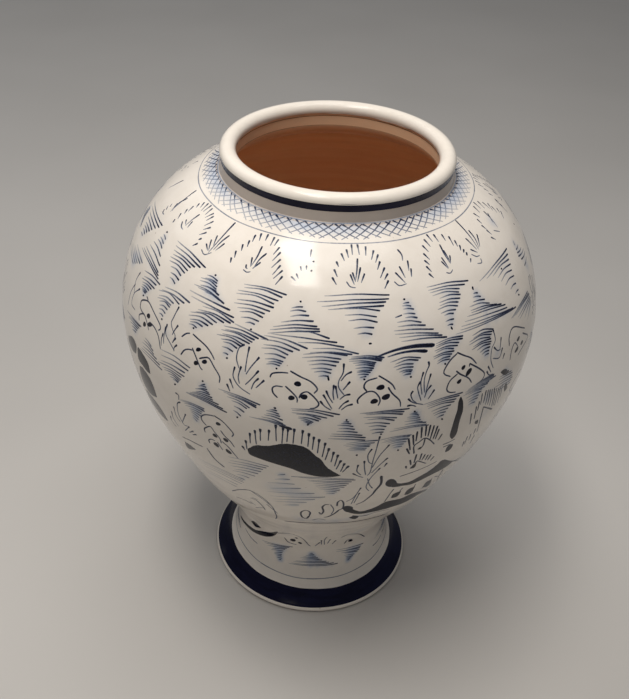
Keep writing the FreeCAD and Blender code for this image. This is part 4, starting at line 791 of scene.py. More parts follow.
def noise1(*k):
    """Repeatable number from -1 to 1."""
    v = math.sin(sum(x * c for x, c in zip(k, (12.9898, 78.233, 37.719, 4.581)))) * 43758.5453
    return 2 * (v - math.floor(v)) - 1


strokes = []      # dict: line (n,2), width (n), ink (n), group
dots = []         # theta, s, a, b, angle, group
fills = []        # top, bottom, group
washes = []       # theta, s, radius, strength


def brush(points, w0, w1, i0, i1, group, blob=False, seed=0.0):
    line = catmull(points)
    n = len(line)
    t = np.linspace(0, 1, n)
    if w0 < 0:    # a bead where the brush lands, then a fine line
        rad = np.interp(line[:, 1], oS, oR)
        d = np.concatenate([[0], np.cumsum(np.hypot(np.radians(np.diff(line[:, 0])) * rad[1:], np.diff(line[:, 1])))])
        g = np.exp(-((d - 0.5) / 1.25) ** 2)
        w = w1 + (-w0 - w1) * g
        ink = i1 + (i0 - i1) * np.maximum(g, np.exp(-d / 4.0) * 0.8)
        w[-1] *= 0.7
    elif blob:    # thin and pale where it starts, a dark bead where the brush stops
        w = w0 + (w1 - w0) * t**1.3
        w[-1] *= 0.8
        w *= np.clip(t * 5 + 0.35, 0, 1)
        ink = i0 + (i1 - i0) * t
    else:
        w = w0 + (w1 - w0) * t
        ink = i0 + (i1 - i0) * t
        w[0] *= 0.75
        w[-1] *= 0.7
    w = w * (1 + 0.07 * np.sin(t * 9 + seed * 5))
    strokes.append(dict(line=line, w=w, ink=ink, group=group))


def hatch(wash, ink, n, bow, keys, group, seed=0.0):
    """A field of short brush lines, each pale at its left and beaded at its right."""
    k = np.array(keys, float)
    u = np.linspace(0, len(k) - 1, n)
    for j in range(n):
        i = min(int(u[j]), len(k) - 2)
        f = u[j] - i
        l, r = k[i, :2] * (1 - f) + k[i + 1, :2] * f, k[i, 2:] * (1 - f) + k[i + 1, 2:] * f
        g = noise1(seed, j, 1.7), noise1(seed, j, 4.1), noise1(seed, j, 8.3)
        rad = np.interp(l[1], oS, oR)
        ln = math.hypot(math.radians(r[0] - l[0]) * rad, r[1] - l[1])
        l = l + [0.5 * g[0] * min(ln, 14) * 0.25 / rad * 57.3, 0.3 * g[1]]
        r = r + [0.3 * g[2] * min(ln, 14) * 0.2 / rad * 57.3, 0.2 * g[0]]
        dth, ds = math.radians(r[0] - l[0]) * rad, r[1] - l[1]
        nx, ny = -ds / max(ln, 1e-6), dth / max(ln, 1e-6)
        b = bow * min(1.0, ln / 14.0) * (1 + 0.3 * g[1])
        mid = (l + r) / 2 + np.array([math.degrees(nx * b / rad), ny * b])
        top = ink * (0.93 + 0.09 * g[2])
        brush([l, mid, r], 0.5, 0.94 + 0.15 * g[0], top * 0.46, min(1.0, top * 1.04), group, blob=True, seed=seed + j)
        if wash > 0:
            for f2 in (0.45, 0.6, 0.75, 0.88):
                q = l * (1 - f2) + r * f2
                washes.append((q[0], q[1], 1.75, 0.19 * wash))


front_groups = {"hatch": "paint_mountains"}


def add_front():
    for i, (wash, ink, n, bow, keys) in enumerate(HATCHES):
        hatch(wash, ink, n, bow, keys, "paint_mountains", seed=i * 3.1 + 1)
    for i, (w0, w1, i0, i1, pts) in enumerate(STROKES):
        brush(pts, w0, w1, i0, i1, "paint_brushwork", seed=i * 0.7)
    for d in DOTS:
        dots.append(tuple(d) + ("paint_flower_dots",))
    for top, bottom in FILLS:
        fills.append((top, bottom, "paint_village"))
    washes.extend(WASHES)


# How far round the listed front reaches, left and right, at each height.
REACH = [(20, -88, 88), (60, -80, 80), (110, -62, 64), (170, -60, 66), (230, -66, 70), (290, -84, 80), (315, -92, 84), (345, -100, 92)]


def in_front(th, s, pad=1.5):
    lo = np.interp(s, [r[0] for r in REACH], [r[1] for r in REACH]) - pad
    hi = np.interp(s, [r[0] for r in REACH], [r[2] for r in REACH]) + pad
    th = (np.asarray(th) + 180.0) % 360.0 - 180.0
    return (th > lo) & (th < hi)


def clusters(lines):
    """Groups lines that come within 3.2 mm of each other, or 6.5 mm in the row of arches at the top."""
    cents = []
    for p in lines:
        p = np.array(p, float)
        r = np.interp(p[:, 1], oS, oR)
        cents.append(np.stack([np.radians(p[:, 0]) * r, p[:, 1]], 1))
    n = len(lines)
    parent = list(range(n))

    def find(a):
        while parent[a] != a:
            parent[a] = parent[parent[a]]
            a = parent[a]
        return a

    boxes = [(c.min(0), c.max(0)) for c in cents]
    top = [c[:, 1].mean() > 306 for c in cents]
    for a in range(n):
        for b in range(a + 1, n):
            link = 6.5 if top[a] and top[b] else 3.2
            if (boxes[a][0] - link > boxes[b][1]).any() or (boxes[b][0] - link > boxes[a][1]).any():
                continue
            d = np.sqrt(((cents[a][:, None] - cents[b][None]) ** 2).sum(-1)).min()
            if d < link:
                parent[find(a)] = find(b)
    out = {}
    for a in range(n):
        out.setdefault(find(a), []).append(a)
    return list(out.values())


def add_round():
    """The same kinds of motif carried on round the sides and back, each set a little different."""
    items = [("s", x) for x in STROKES] + [("d", x) for x in DOTS] + [("f", x) for x in FILLS]
    lines = [x[4] for x in STROKES] + [[(x[0], x[1])] for x in DOTS] + [list(x[0]) + list(x[1]) for x in FILLS]
    sets = clusters(lines)
    taken = []
    for turn in (120.5, 240.0):
        for ci, members in enumerate(sets):
            pts = np.vstack([np.array(lines[k], float) for k in members])
            c = pts.mean(0)
            if abs(c[0]) > 62.5:
                continue
            dt, ds = turn + 1.3 * noise1(ci, turn), 1.5 * noise1(ci, turn, 3.0)
            if c[1] < 60 or len(members) > 14:
                ds = 0.0
            k = 1 + 0.05 * noise1(ci, turn, 5.0)
            moved = c + (pts - c) * k
            if in_front(moved[:, 0] + dt, moved[:, 1] + ds).any():
                continue

            def go(p):
                p = np.array(p, float)
                return (c + (p - c) * k + [dt, ds]).tolist()

            for mi in members:
                kind, x = items[mi]
                if kind == "s":
                    brush(go(x[4]), x[0], x[1], x[2], x[3], "paint_brushwork_back", seed=mi + turn)
                elif kind == "d":
                    q = go([(x[0], x[1])])[0]
                    dots.append((q[0], q[1], x[2] * k, x[3] * k, x[4] + 6 * noise1(mi, turn), "paint_flower_dots_back"))
                else:
                    fills.append((go(x[0]), go(x[1]), "paint_village_back"))
        for i, (wash, ink, n, bow, keys) in enumerate(HATCHES):
            kk = np.array(keys, float)
            c = np.array([(kk[:, 0].mean() + kk[:, 2].mean()) / 2, (kk[:, 1].mean() + kk[:, 3].mean()) / 2])
            if abs(c[0]) > 61.0:
                continue
            dt, ds = turn + 1.5 * noise1(i, turn, 2.0), 1.5 * noise1(i, turn, 9.0)
            g = 1 + 0.06 * noise1(i, turn, 7.0)
            k2 = kk.copy()
            k2[:, [0, 2]] = c[0] + (kk[:, [0, 2]] - c[0]) * g + dt
            k2[:, [1, 3]] = c[1] + (kk[:, [1, 3]] - c[1]) * g + ds
            if in_front(k2[:, [0, 2]], k2[:, [1, 3]]).any():
                continue
            hatch(wash, ink, n, bow * g, k2, "paint_mountains_back", seed=i * 5.3 + turn)
        for x in WASHES:
            if abs(x[0]) < 60 and not in_front(x[0] + turn, x[1]).any():
                washes.append((x[0] + turn, x[1], x[2], x[3]))


def fill_gaps():
    """Small motifs set into the bare places left between the three sets, so the pattern runs on unbroken."""
    nt, ns = 720, 360
    full = np.zeros((ns, nt), bool)

    def cells(points):
        p = np.asarray(points, float)
        return np.clip(np.round(p[:, 1]).astype(int), 0, ns - 1), np.round(p[:, 0] * 2).astype(int) % nt

    def mark(points, pad):
        for th, s in np.asarray(points, float):
            r = float(np.interp(s, oS, oR))
            ht, hs = int(math.ceil(pad / r * 57.3 * 2)), int(math.ceil(pad))
            i, j = int(round(s)), int(round(th * 2))
            full[max(0, i - hs):i + hs + 1, np.arange(j - ht, j + ht + 1) % nt] = True

    def area_of(lines):
        """Every cell between the leftmost and rightmost point of each 2 mm row."""
        p = np.vstack([np.asarray(x, float) for x in lines])
        out = []
        for s in np.arange(p[:, 1].min(), p[:, 1].max() + 1.0, 1.0):
            near = p[np.abs(p[:, 1] - s) < 3.0]
            if len(near):
                for th in np.arange(near[:, 0].min(), near[:, 0].max() + 0.5, 0.5):
                    out.append((th, s))
        return np.array(out)

    for st in strokes:
        if st["group"] not in ("paint_rings", "paint_crosshatch"):
            mark(st["line"], 1.4)
    for d in dots:
        mark([(d[0], d[1])], 1.4 + max(d[2], d[3]))
    for top, bottom, _ in fills:
        mark(area_of([catmull(top), catmull(bottom)]), 1.4)
    items = [("s", x) for x in STROKES] + [("d", x) for x in DOTS] + [("f", x) for x in FILLS]
    lines = [x[4] for x in STROKES] + [[(x[0], x[1])] for x in DOTS] + [list(x[0]) + list(x[1]) for x in FILLS]
    lib = []
    for members in clusters(lines):
        dense = [catmull(lines[k]) if len(lines[k]) > 1 and items[k][0] == "s" else lines[k] for k in members]
        a = area_of(dense)
        plain = all(items[k][0] != "f" for k in members) and any(items[k][0] == "s" for k in members)
        if plain and len(a) > 45 and abs(a[:, 0].mean()) < 58 and np.ptp(a[:, 0]) < 34:
            lib.append((len(a), "c", members, a))
    for i, h in enumerate(HATCHES):
        k = np.array(h[4], float)
        rows = np.linspace(0, len(k) - 1, 16)
        pts = []
        for u in rows:
            q = min(int(u), len(k) - 2)
            row = k[q] * (1 - u + q) + k[q + 1] * (u - q)
            pts += [(row[0] * (1 - f) + row[2] * f, row[1] * (1 - f) + row[3] * f) for f in np.linspace(0, 1, 12)]
        if abs(k[:, 0].mean()) < 58:
            lib.append((int(len(area_of([pts])) * 1.0), "h", i, area_of([pts])))
    lib.sort(key=lambda x: (-x[0], x[1]))
    for rnd in range(2):
        for n, (_, kind, which, a0) in enumerate(lib):
            c = a0.mean(0)
            hits = 0
            for turn in np.arange(6.0, 354.0, 2.0):
                if hits >= 2:
                    break
                for ds, k in ((0.0, 1.0), (2.5, 0.94), (-2.5, 0.94), (5.0, 0.84), (-5.0, 0.84)):
                    if c[1] > 320 and ds:
                        continue
                    a = c + (a0 - c) * k + [turn, ds]
                    if (np.abs((a[:, 0] + 180.0) % 360.0 - 180.0) < 56.0).any():
                        continue
                    if full[cells(a)].any():
                        continue

                    def go(p):
                        return (c + (np.array(p, float) - c) * k + [turn, ds]).tolist()

                    if kind == "h":
                        wash, ink, cnt, bow, keys = HATCHES[which]
                        kk = np.array(keys, float)
                        k2 = np.hstack([go(kk[:, :2]), go(kk[:, 2:])])
                        hatch(wash, ink, cnt, bow * k, k2, "paint_mountains_back", seed=n * 2.3 + turn)
                    else:
                        for mi in which:
                            t, x = items[mi]
                            if t == "s":
                                brush(go(x[4]), x[0], x[1], x[2], x[3], "paint_brushwork_back", seed=mi + turn)
                            elif t == "d":
                                q = go([(x[0], x[1])])[0]
                                dots.append((q[0], q[1], x[2] * k, x[3] * k, x[4], "paint_flower_dots_back"))
                            else:
                                fills.append((go(x[0]), go(x[1]), "paint_village_back"))
                    mark(a[::2], 1.4)
                    hits += 1
                    break


def add_rings():
    """Crosshatched collar round the mouth with its two fine circles, and the circle above the foot."""
    n = 84
    lo, hi = 342.4, 352.0
    for j in range(n):
        t = j * 360.0 / n + 0.6 * noise1(j, 2.2)
        g = noise1(j, 6.6)
        fade = 0.78 + 0.2 * math.sin(math.radians(t) * 3 + 1.0)
        brush([(t - 4.2 + 0.6 * g, lo + 0.8 + 0.6 * g), (t + 0.3, (lo + hi) / 2 + 0.2), (t + 4.6 + 0.5 * g, hi)], 0.5, 0.72, 0.55 * fade, 0.92 * fade, "paint_crosshatch", seed=j)
        t2 = t + 1.6 + 0.4 * noise1(j, 9.9)
        brush([(t2 - 4.9 + 0.6 * g, hi - 0.1 + 0.2 * g), (t2 + 0.2, (lo + hi) / 2 - 0.2), (t2 + 4.8, lo + 0.7 + 0.6 * noise1(j, 3.3))], -1.2, 0.55, 1.0, 0.6 * fade, "paint_crosshatch", seed=j + 0.5)
        washes.append((t, (lo + hi) / 2 + 2.6, 3.4, 0.54 + 0.30 * math.sin(math.radians(t) * 5 + 2.0) + 0.08 * noise1(j * 0.31, 1.0)))
    for s0, w, ink, seg in ((340.4, 0.58, 0.56, 13), (352.3, 0.75, 0.5, 12), (24.6, 0.7, 0.62, 10)):
        for j in range(seg):
            a, b = j * 360.0 / seg - 0.6, (j + 1) * 360.0 / seg + 0.6
            pts = [(a + (b - a) * q, s0 + 0.22 * math.sin(math.radians(a + (b - a) * q) * 3 + s0) + 0.12 * math.sin(math.radians(a + (b - a) * q) * 11)) for q in np.linspace(0, 1, 12)]
            brush(pts, w * (1 + 0.2 * noise1(j, s0)), w * (1 - 0.2 * noise1(j, s0)), ink, ink * 0.85, "paint_rings", seed=j)


add_front()
add_round()
fill_gaps()
add_rings()

# -------------------------------------------------- where the wash has bled
WT, WS = 720, 360
wash_grid = np.zeros((WS, WT), np.float32)
for th, s, rad, k in washes:
    r = float(np.interp(s, oS, oR))
    si = s / S_END * (WS - 1)
    ti = (th % 360.0) / 360.0 * WT
    hs = int(math.ceil(rad * 2.2 / (S_END / WS)))
    ht = int(math.ceil(rad * 2.2 / (2 * math.pi * r / WT)))
    ss = np.arange(max(0, int(si) - hs), min(WS, int(si) + hs + 2))
    tt = np.arange(int(ti) - ht, int(ti) + ht + 2)
    if len(ss) == 0:
        continue
    d2 = ((ss[:, None] - si) * S_END / WS) ** 2 + ((tt[None] - ti) * 2 * math.pi * r / WT) ** 2
    wash_grid[ss[:, None], tt[None] % WT] += (k * np.exp(-d2 / (rad * rad))).astype(np.float32)
wash_grid = 0.7 * (1 - np.exp(-wash_grid / 0.7))


def wash_at(th, s):
    th, s = np.broadcast_arrays(np.asarray(th, float), np.asarray(s, float))
    x = (th % 360.0) / 360.0 * WT
    y = np.clip(s / S_END * (WS - 1), 0, WS - 1.001)
    i, j = np.floor(y).astype(int), np.floor(x).astype(int)
    fy, fx = y - i, x - j
    g = wash_grid
    a = g[i, j % WT] * (1 - fx) + g[i, (j + 1) % WT] * fx
    b = g[i + 1, j % WT] * (1 - fx) + g[i + 1, (j + 1) % WT] * fx
    return a * (1 - fy) + b * fy


# ------------------------------------------------------------- paint meshes
LIFT, SINK = 0.055, -0.03      # mm: crown of a stroke above the glaze, and its edge below


class Sheet:
    """Gathers many small patches into one mesh, each with its own cell of the map."""

    def __init__(self, name):
        self.name, self.v, self.n, self.f, self.ink, self.wash, self.uv, self.cells = name, [], [], [], [], [], [], []
        self.count = 0

    def add(self, pos, nor, faces, ink, wash, uv):
        base = self.count
        self.v.append(pos)
        self.n.append(nor)
        self.f.append([[base + k for k in f] for f in faces])
        self.ink.append(ink)
        self.wash.append(wash)
        self.uv.append(uv)
        self.cells.append(np.full(len(pos), len(self.cells)))
        self.count += len(pos)

    def build(self, material, cell_aspect=3.0):
        verts = np.vstack(self.v)
        nor = np.vstack(self.n)
        faces = [f for g in self.f for f in g]
        ob = new_object(self.name, verts, faces, normals=None, attrs={"ink": np.concatenate(self.ink), "wash": np.concatenate(self.wash)})
        me = ob.data
        n = len(self.cells)
        cols = max(1, int(round(math.sqrt(n / cell_aspect))))
        rows = int(math.ceil(n / cols))
        cell = np.concatenate(self.cells)
        uv = np.vstack(self.uv)
        cx, cy = cell % cols, cell // cols
        pad = 0.08
        u = (cx + pad + uv[:, 0] * (1 - 2 * pad)) / cols
        v = (cy + pad * 1.5 + uv[:, 1] * (1 - 3 * pad)) / rows
        layer = me.uv_layers.new(name="OFBake")
        idx = np.zeros(len(me.loops), np.int32)
        me.loops.foreach_get("vertex_index", idx)
        layer.data.foreach_set("uv", np.stack([u[idx], v[idx]], 1).astype(np.float32).ravel())
        me.normals_split_custom_set_from_vertices(nor.astype(float).tolist())
        me.materials.append(material)
        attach(ob, "root")
        return ob


ACROSS = np.array([-1.0, -0.55, 0.0, 0.55, 1.0])


def ribbon(sheet, st):
    line, w, ink = st["line"], st["w"], st["ink"]
    p, nrm = place(line[:, 0], line[:, 1])
    t = np.gradient(p, axis=0)
    t /= np.maximum(np.linalg.norm(t, axis=1)[:, None], 1e-12)
    b = np.cross(nrm, t)
    b /= np.linalg.norm(b, axis=1)[:, None]
    # rounded ends: half a width beyond each end
    p = np.vstack([p[:1] - t[:1] * w[0] * 0.5 * MM, p, p[-1:] + t[-1:] * w[-1] * 0.5 * MM])
    b = np.vstack([b[:1], b, b[-1:]])
    nrm = np.vstack([nrm[:1], nrm, nrm[-1:]])
    w2 = np.concatenate([[w[0] * 0.35], w, [w[-1] * 0.45]])
    ink2 = np.concatenate([[0.0], ink, [ink[-1] * 0.25]])
    half = w2 * 0.5 + 0.2
    off = np.stack([-half, -w2 * 0.36, 0 * half, w2 * 0.36, half], 1)
    hgt = np.stack([np.full_like(half, SINK), np.full_like(half, LIFT * 0.75), np.full_like(half, LIFT), np.full_like(half, LIFT * 0.75), np.full_like(half, SINK)], 1)
    hgt[0] = np.minimum(hgt[0], SINK)
    hgt[-1] = np.minimum(hgt[-1], SINK)
    pos = p[:, None] + b[:, None] * (off * MM)[..., None] + nrm[:, None] * (hgt * MM)[..., None]
    iv = ink2[:, None] * np.array([0.0, 0.9, 1.0, 0.9, 0.0])[None]
    n = len(p)
    ends = np.concatenate([line[:1], line, line[-1:]])
    wv = np.repeat(wash_at(ends[:, 0], ends[:, 1])[:, None], 5, 1)
    faces = []
    for i in range(n - 1):
        for k in range(4):
            a = i * 5 + k
            faces.append([a, a + 5, a + 6, a + 1])
    uv = np.stack([np.repeat(np.linspace(0, 1, n)[:, None], 5, 1), np.repeat(np.linspace(0, 1, 5)[None], n, 0)], -1)
    sheet.add(pos.reshape(-1, 3), np.repeat(nrm[:, None], 5, 1).reshape(-1, 3), faces, iv.ravel(), wv.ravel(), uv.reshape(-1, 2))


def dot(sheet, th, s, a, b, ang):
    rings = np.array([0.0, 0.5, 0.86, 1.0])
    extra = np.array([0.0, 0.0, 0.0, 0.16])
    hts = np.array([LIFT, LIFT, LIFT * 0.7, SINK])
    inks = np.array([1.0, 1.0, 0.97, 0.0])
    n = 18
    q = np.arange(n) * 2 * math.pi / n
    r = float(np.interp(s, oS, oR))
    ca, sa = math.cos(math.radians(ang)), math.sin(math.radians(ang))
    pts, hh, ii, uv = [(th, s)], [LIFT], [1.0], [(0.5, 0.5)]
    for k in range(1, 4):
        wob = 1 + 0.05 * np.sin(3 * q + th) + 0.04 * np.sin(2 * q + s)
        x = (a * rings[k] * wob + extra[k]) * np.cos(q)
        y = (b * rings[k] * wob + extra[k]) * np.sin(q)
        u, v = x * ca - y * sa, x * sa + y * ca
        pts += list(zip(th + np.degrees(u / r), s + v))
        hh += [hts[k]] * n
        ii += [inks[k]] * n
        uv += list(zip(0.5 + 0.5 * rings[k] * np.cos(q), 0.5 + 0.5 * rings[k] * np.sin(q)))
    pts = np.array(pts)
    pos, nor = place(pts[:, 0], pts[:, 1], np.array(hh))
    faces = [[0, 1 + i, 1 + (i + 1) % n] for i in range(n)]
    for k in range(2):
        for i in range(n):
            j = (i + 1) % n
            faces.append([1 + k * n + i, 1 + (k + 1) * n + i, 1 + (k + 1) * n + j, 1 + k * n + j])
    sheet.add(pos, nor, faces, np.array(ii), wash_at(pts[:, 0], pts[:, 1]), np.array(uv))


def fill(sheet, top, bottom):
    """A solid patch of paint between two lines that meet at both ends."""
    def even(points, n):
        c = catmull(points, 0.8)
        r = np.interp(c[:, 1], oS, oR)
        d = np.concatenate([[0], np.cumsum(np.hypot(np.radians(np.diff(c[:, 0])) * r[1:], np.diff(c[:, 1])))])
        t = np.linspace(0, d[-1], n)
        return np.stack([np.interp(t, d, c[:, 0]), np.interp(t, d, c[:, 1])], 1), d[-1]
    _, ln = even(top, 5)
    n = max(10, int(ln / 1.1))
    a, _ = even(top, n)
    b, _ = even(bottom, n)
    r = float(np.interp(a[:, 1].mean(), oS, oR))
    wide = float(np.hypot(np.radians(a[:, 0] - b[:, 0]) * r, a[:, 1] - b[:, 1]).max())
    mcount = max(4, int(wide / 1.3) + 3)
    t = np.linspace(0, 1, mcount)
    edge = 0.22 / max(wide, 0.6)
    t = np.concatenate([[-edge], t, [1 + edge]])
    i = np.arange(n)
    rag = 0.1 * np.sin(i * 1.7) + 0.07 * np.sin(i * 0.61 + 1.0)
    pts = a[:, None] * (1 - t)[None, :, None] + b[:, None] * t[None, :, None]
    # a hand-drawn edge: shift whole columns a little along the surface
    pts[:, :, 1] += (rag[:, None] * (1 - np.clip(t, 0, 1))[None])
    k = len(t)
    hh = np.full((n, k), LIFT * 1.3)
    hh[:, 0] = hh[:, -1] = SINK
    hh[0], hh[-1] = SINK, SINK
    ink = np.ones((n, k))
    ink[:, 0] = ink[:, -1] = 0
    ink[0] *= 0.3
    ink[-1] *= 0.3
    pos, nor = place(pts[..., 0], pts[..., 1], hh)
    p0 = pos.reshape(-1, 3)
    faces = []
    for x in range(n - 1):
        for y in range(k - 1):
            q = x * k + y
            faces.append([q, q + 1, q + k + 1, q + k])
    # keep the faces looking outwards
    f = faces[len(faces) // 2]
    nn = np.cross(p0[f[1]] - p0[f[0]], p0[f[3]] - p0[f[0]])
    if nn @ nor.reshape(-1, 3)[f[0]] < 0:
        faces = [g[::-1] for g in faces]
    uv = np.stack(np.meshgrid(np.linspace(0, 1, n), np.linspace(0, 1, k), indexing="ij"), -1)
    sheet.add(p0, nor.reshape(-1, 3), faces, ink.ravel(), wash_at(pts[..., 0], pts[..., 1]).ravel(), uv.reshape(-1, 2))


# ---------------------------------------------------------------- materials
class Nodes:
    def __init__(self, name):
        self.mat = bpy.data.materials.new(name)
        self.mat.use_nodes = True
        self.t = self.mat.node_tree
        self.bsdf = self.t.nodes["Principled BSDF"]
        self.co = self.t.nodes.new("ShaderNodeTexCoord").outputs["Object"]

    def new(self, kind, **props):
        n = self.t.nodes.new(kind)
        for k, v in props.items():
            setattr(n, k, v)
        return n

    def put(self, socket, value):
        if isinstance(value, (int, float, tuple, list)):
            socket.default_value = value
        else:
            self.t.links.new(value, socket)

    def noise(self, scale, detail=3.0, rough=0.55, stretch=None, distortion=0.0):
        n = self.new("ShaderNodeTexNoise")
        n.inputs["Scale"].default_value = scale
        n.inputs["Detail"].default_value = detail
        n.inputs["Roughness"].default_value = rough
        n.inputs["Distortion"].default_value = distortion
        co = self.co
        if stretch:
            mp = self.new("ShaderNodeMapping")
            mp.inputs["Scale"].default_value = stretch
            self.t.links.new(co, mp.inputs["Vector"])
            co = mp.outputs["Vector"]
        self.t.links.new(co, n.inputs["Vector"])
        return n.outputs["Fac"]

    def math(self, op, a, b=0.0, clamp=False):
        n = self.new("ShaderNodeMath", operation=op, use_clamp=clamp)
        self.put(n.inputs[0], a)
        self.put(n.inputs[1], b)
        return n.outputs[0]

    def span(self, v, lo, hi, a=0.0, b=1.0):
        n = self.new("ShaderNodeMapRange")
        n.clamp = True
        self.put(n.inputs["Value"], v)
        for key, x in (("From Min", lo), ("From Max", hi), ("To Min", a), ("To Max", b)):
            n.inputs[key].default_value = x
        return n.outputs["Result"]

    def mix(self, fac, a, b, blend="MIX"):
        n = self.new("ShaderNodeMix", data_type="RGBA", blend_type=blend)
        self.put(n.inputs["Factor"], fac)
        for sock, val in ((n.inputs["A"], a), (n.inputs["B"], b)):
            pass
        ins = [s for s in n.inputs if s.type == "RGBA"]
        self.put(ins[0], a)
        self.put(ins[1], b)
        return [s for s in n.outputs if s.type == "RGBA"][0]

    def ramp(self, fac, stops):
        n = self.new("ShaderNodeValToRGB")
        self.put(n.inputs["Fac"], fac)
        el = n.color_ramp.elements
        while len(el) < len(stops):
            el.new(0.5)
        for e, (pos, col) in zip(el, stops):
            e.position, e.color = pos, col
        return n.outputs["Color"]

    def attribute(self, name):
        n = self.new("ShaderNodeAttribute", attribute_name=name, attribute_type="GEOMETRY")
        return n.outputs["Fac"]

    def bump(self, height, strength, distance):
        n = self.new("ShaderNodeBump")
        n.inputs["Strength"].default_value = strength
        n.inputs["Distance"].default_value = distance
        self.t.links.new(height, n.inputs["Height"])
        self.t.links.new(n.outputs["Normal"], self.bsdf.inputs["Normal"])

    def set(self, **values):
        for k, v in values.items():
            self.put(self.bsdf.inputs[k.replace("_", " ")], v)


def rgb(r, g, b):
    """sRGB 0-255 to linear."""
    out = []
    for c in (r, g, b):
        c /= 255.0
        out.append(c / 12.92 if c <= 0.04045 else ((c + 0.055) / 1.055) ** 2.4)
    return (*out, 1.0)


def glaze_colour(k, warm, cool, speck=0.5):
    """Tin white with slow drifts of tone, a faint mottle and a few iron specks."""
    base = k.mix(k.span(k.noise(11.0, 2.0), 0.36, 0.66), warm, cool)
    base = k.mix(k.span(k.noise(150.0, 3.0), 0.42, 0.75, 0.0, 0.16), base, rgb(214, 203, 186))
    v = k.new("ShaderNodeTexVoronoi")
    v.inputs["Scale"].default_value = 95.0
    k.t.links.new(k.co, v.inputs["Vector"])
    pick = k.span(k.noise(55.0, 1.0), 0.60, 0.66)
    spot = k.math("MULTIPLY", k.span(v.outputs["Distance"], 0.03, 0.055, 1.0, 0.0), pick)
    return k.mix(k.math("MULTIPLY", spot, speck), base, rgb(120, 92, 66))


def painted_material():
    k = Nodes("painted_tin_glaze")
    base = glaze_colour(k, rgb(243, 234, 222), rgb(236, 228, 217))
    wash = k.math("MULTIPLY", k.attribute("wash"), k.span(k.noise(420.0, 2.0), 0.3, 0.7, 0.8, 1.15))
    base = k.mix(wash, base, rgb(116, 150, 192))
    ink = k.math("MULTIPLY", k.attribute("ink"), k.span(k.noise(900.0, 2.0), 0.28, 0.6, 0.84, 1.06), clamp=True)
    tone = k.ramp(ink, [(0.0, rgb(132, 150, 172)), (0.45, rgb(88, 102, 126)), (0.75, rgb(38, 45, 70)), (1.0, rgb(8, 8, 20))])
    k.set(Base_Color=k.mix(k.span(ink, 0.02, 0.62), base, tone))
    k.set(Roughness=k.span(k.noise(30.0, 3.0), 0.3, 0.7, 0.10, 0.18))
    k.set(Specular_IOR_Level=0.32, IOR=1.45)
    k.bump(k.noise(260.0, 2.0), 0.06, 0.0004)
    return k.mat


def plain_glaze(name, warm, cool, speck=0.5):
    k = Nodes(name)
    k.set(Base_Color=glaze_colour(k, warm, cool, speck))
    k.set(Roughness=k.span(k.noise(30.0, 3.0), 0.3, 0.7, 0.10, 0.2))
    k.set(Specular_IOR_Level=0.28, IOR=1.46)
    k.bump(k.noise(260.0, 2.0), 0.06, 0.0004)
    return k.mat


def cobalt_material():
    k = Nodes("cobalt_glaze")
    streak = k.noise(60.0, 4.0, 0.6, stretch=(1.0, 1.0, 9.0), distortion=0.4)
    base = k.mix(k.span(streak, 0.35, 0.72), rgb(14, 14, 36), rgb(20, 21, 49))
    base = k.mix(k.span(k.noise(24.0, 2.0), 0.5, 0.75, 0.0, 0.6), base, rgb(25, 28, 62))
    k.set(Base_Color=base)
    k.set(Roughness=k.span(k.noise(80.0, 3.0), 0.3, 0.7, 0.10, 0.22))
    k.set(Specular_IOR_Level=0.15, IOR=1.46)
    k.bump(k.noise(240.0, 2.0), 0.07, 0.0004)
    return k.mat


def clay_material(name, dark, mid, light, rough=(0.5, 0.72)):
    k = Nodes(name)
    base = k.mix(k.span(k.noise(18.0, 4.0), 0.32, 0.68), dark, mid)
    rings = k.noise(34.0, 2.0, 0.5, stretch=(0.25, 0.25, 6.0))
    base = k.mix(k.span(rings, 0.45, 0.72, 0.0, 0.55), base, light)
    base = k.mix(k.span(k.noise(1500.0, 2.0), 0.58, 0.75, 0.0, 0.35), base, light)
    base = k.mix(k.span(k.noise(700.0, 2.0), 0.64, 0.74, 0.0, 0.5), base, dark)
    k.set(Base_Color=base)
    k.set(Roughness=k.span(k.noise(220.0, 3.0), 0.3, 0.7, *rough))
    k.set(Specular_IOR_Level=0.4)
    n = k.noise(1300.0, 3.0, 0.65)
    k.bump(n, 0.25, 0.0003)
    return k.mat


painted = painted_material()
white = plain_glaze("white_tin_glaze", rgb(243, 234, 221), rgb(236, 228, 216))
# The collar's coat: the same white tin glaze made greyer, painted shade for the upright wall that faces away from the
# light.
painted_shade_white = plain_glaze("grey_white_glaze", rgb(203, 190, 178), rgb(189, 177, 166), 0.8)
cobalt = cobalt_material()
# Clay seen inside the mouth: a far paler copy of the bare clay, painted light standing in for the light that reaches
# into the cavity.
painted_light_clay = clay_material("fired_clay_inside_painted_light", rgb(233, 189, 151), rgb(239, 199, 161), rgb(243, 209, 176), (0.45, 0.62))
bare_clay = clay_material("fired_clay_bare", rgb(158, 112, 78), rgb(176, 130, 94), rgb(200, 160, 124))
slip_mat = clay_material("joint_slip", rgb(140, 98, 68), rgb(162, 118, 84), rgb(184, 144, 108))

# -------------------------------------------------------------- clay bodies
clay = inset(0.8)
FLOOR_TOP, FLOOR_UNDER = 45.5, 33.5
inner_pts = [(38.0, FLOOR_TOP), (43.5, FLOOR_TOP + 1.6), (47.6, FLOOR_TOP + 6.0), (50.2, FLOOR_TOP + 13.0)]
inner_pts += along(inset(7.5), 68.0, 298.5, 60)
inner_pts += [(64.6, 299.4), (59.6, 302.6), (57.4, 306.1)]
inner = spline(inner_pts, 4001)


def at(curve, z):
    return (float(np.interp(z, curve[:, 1], curve[:, 0])), z)


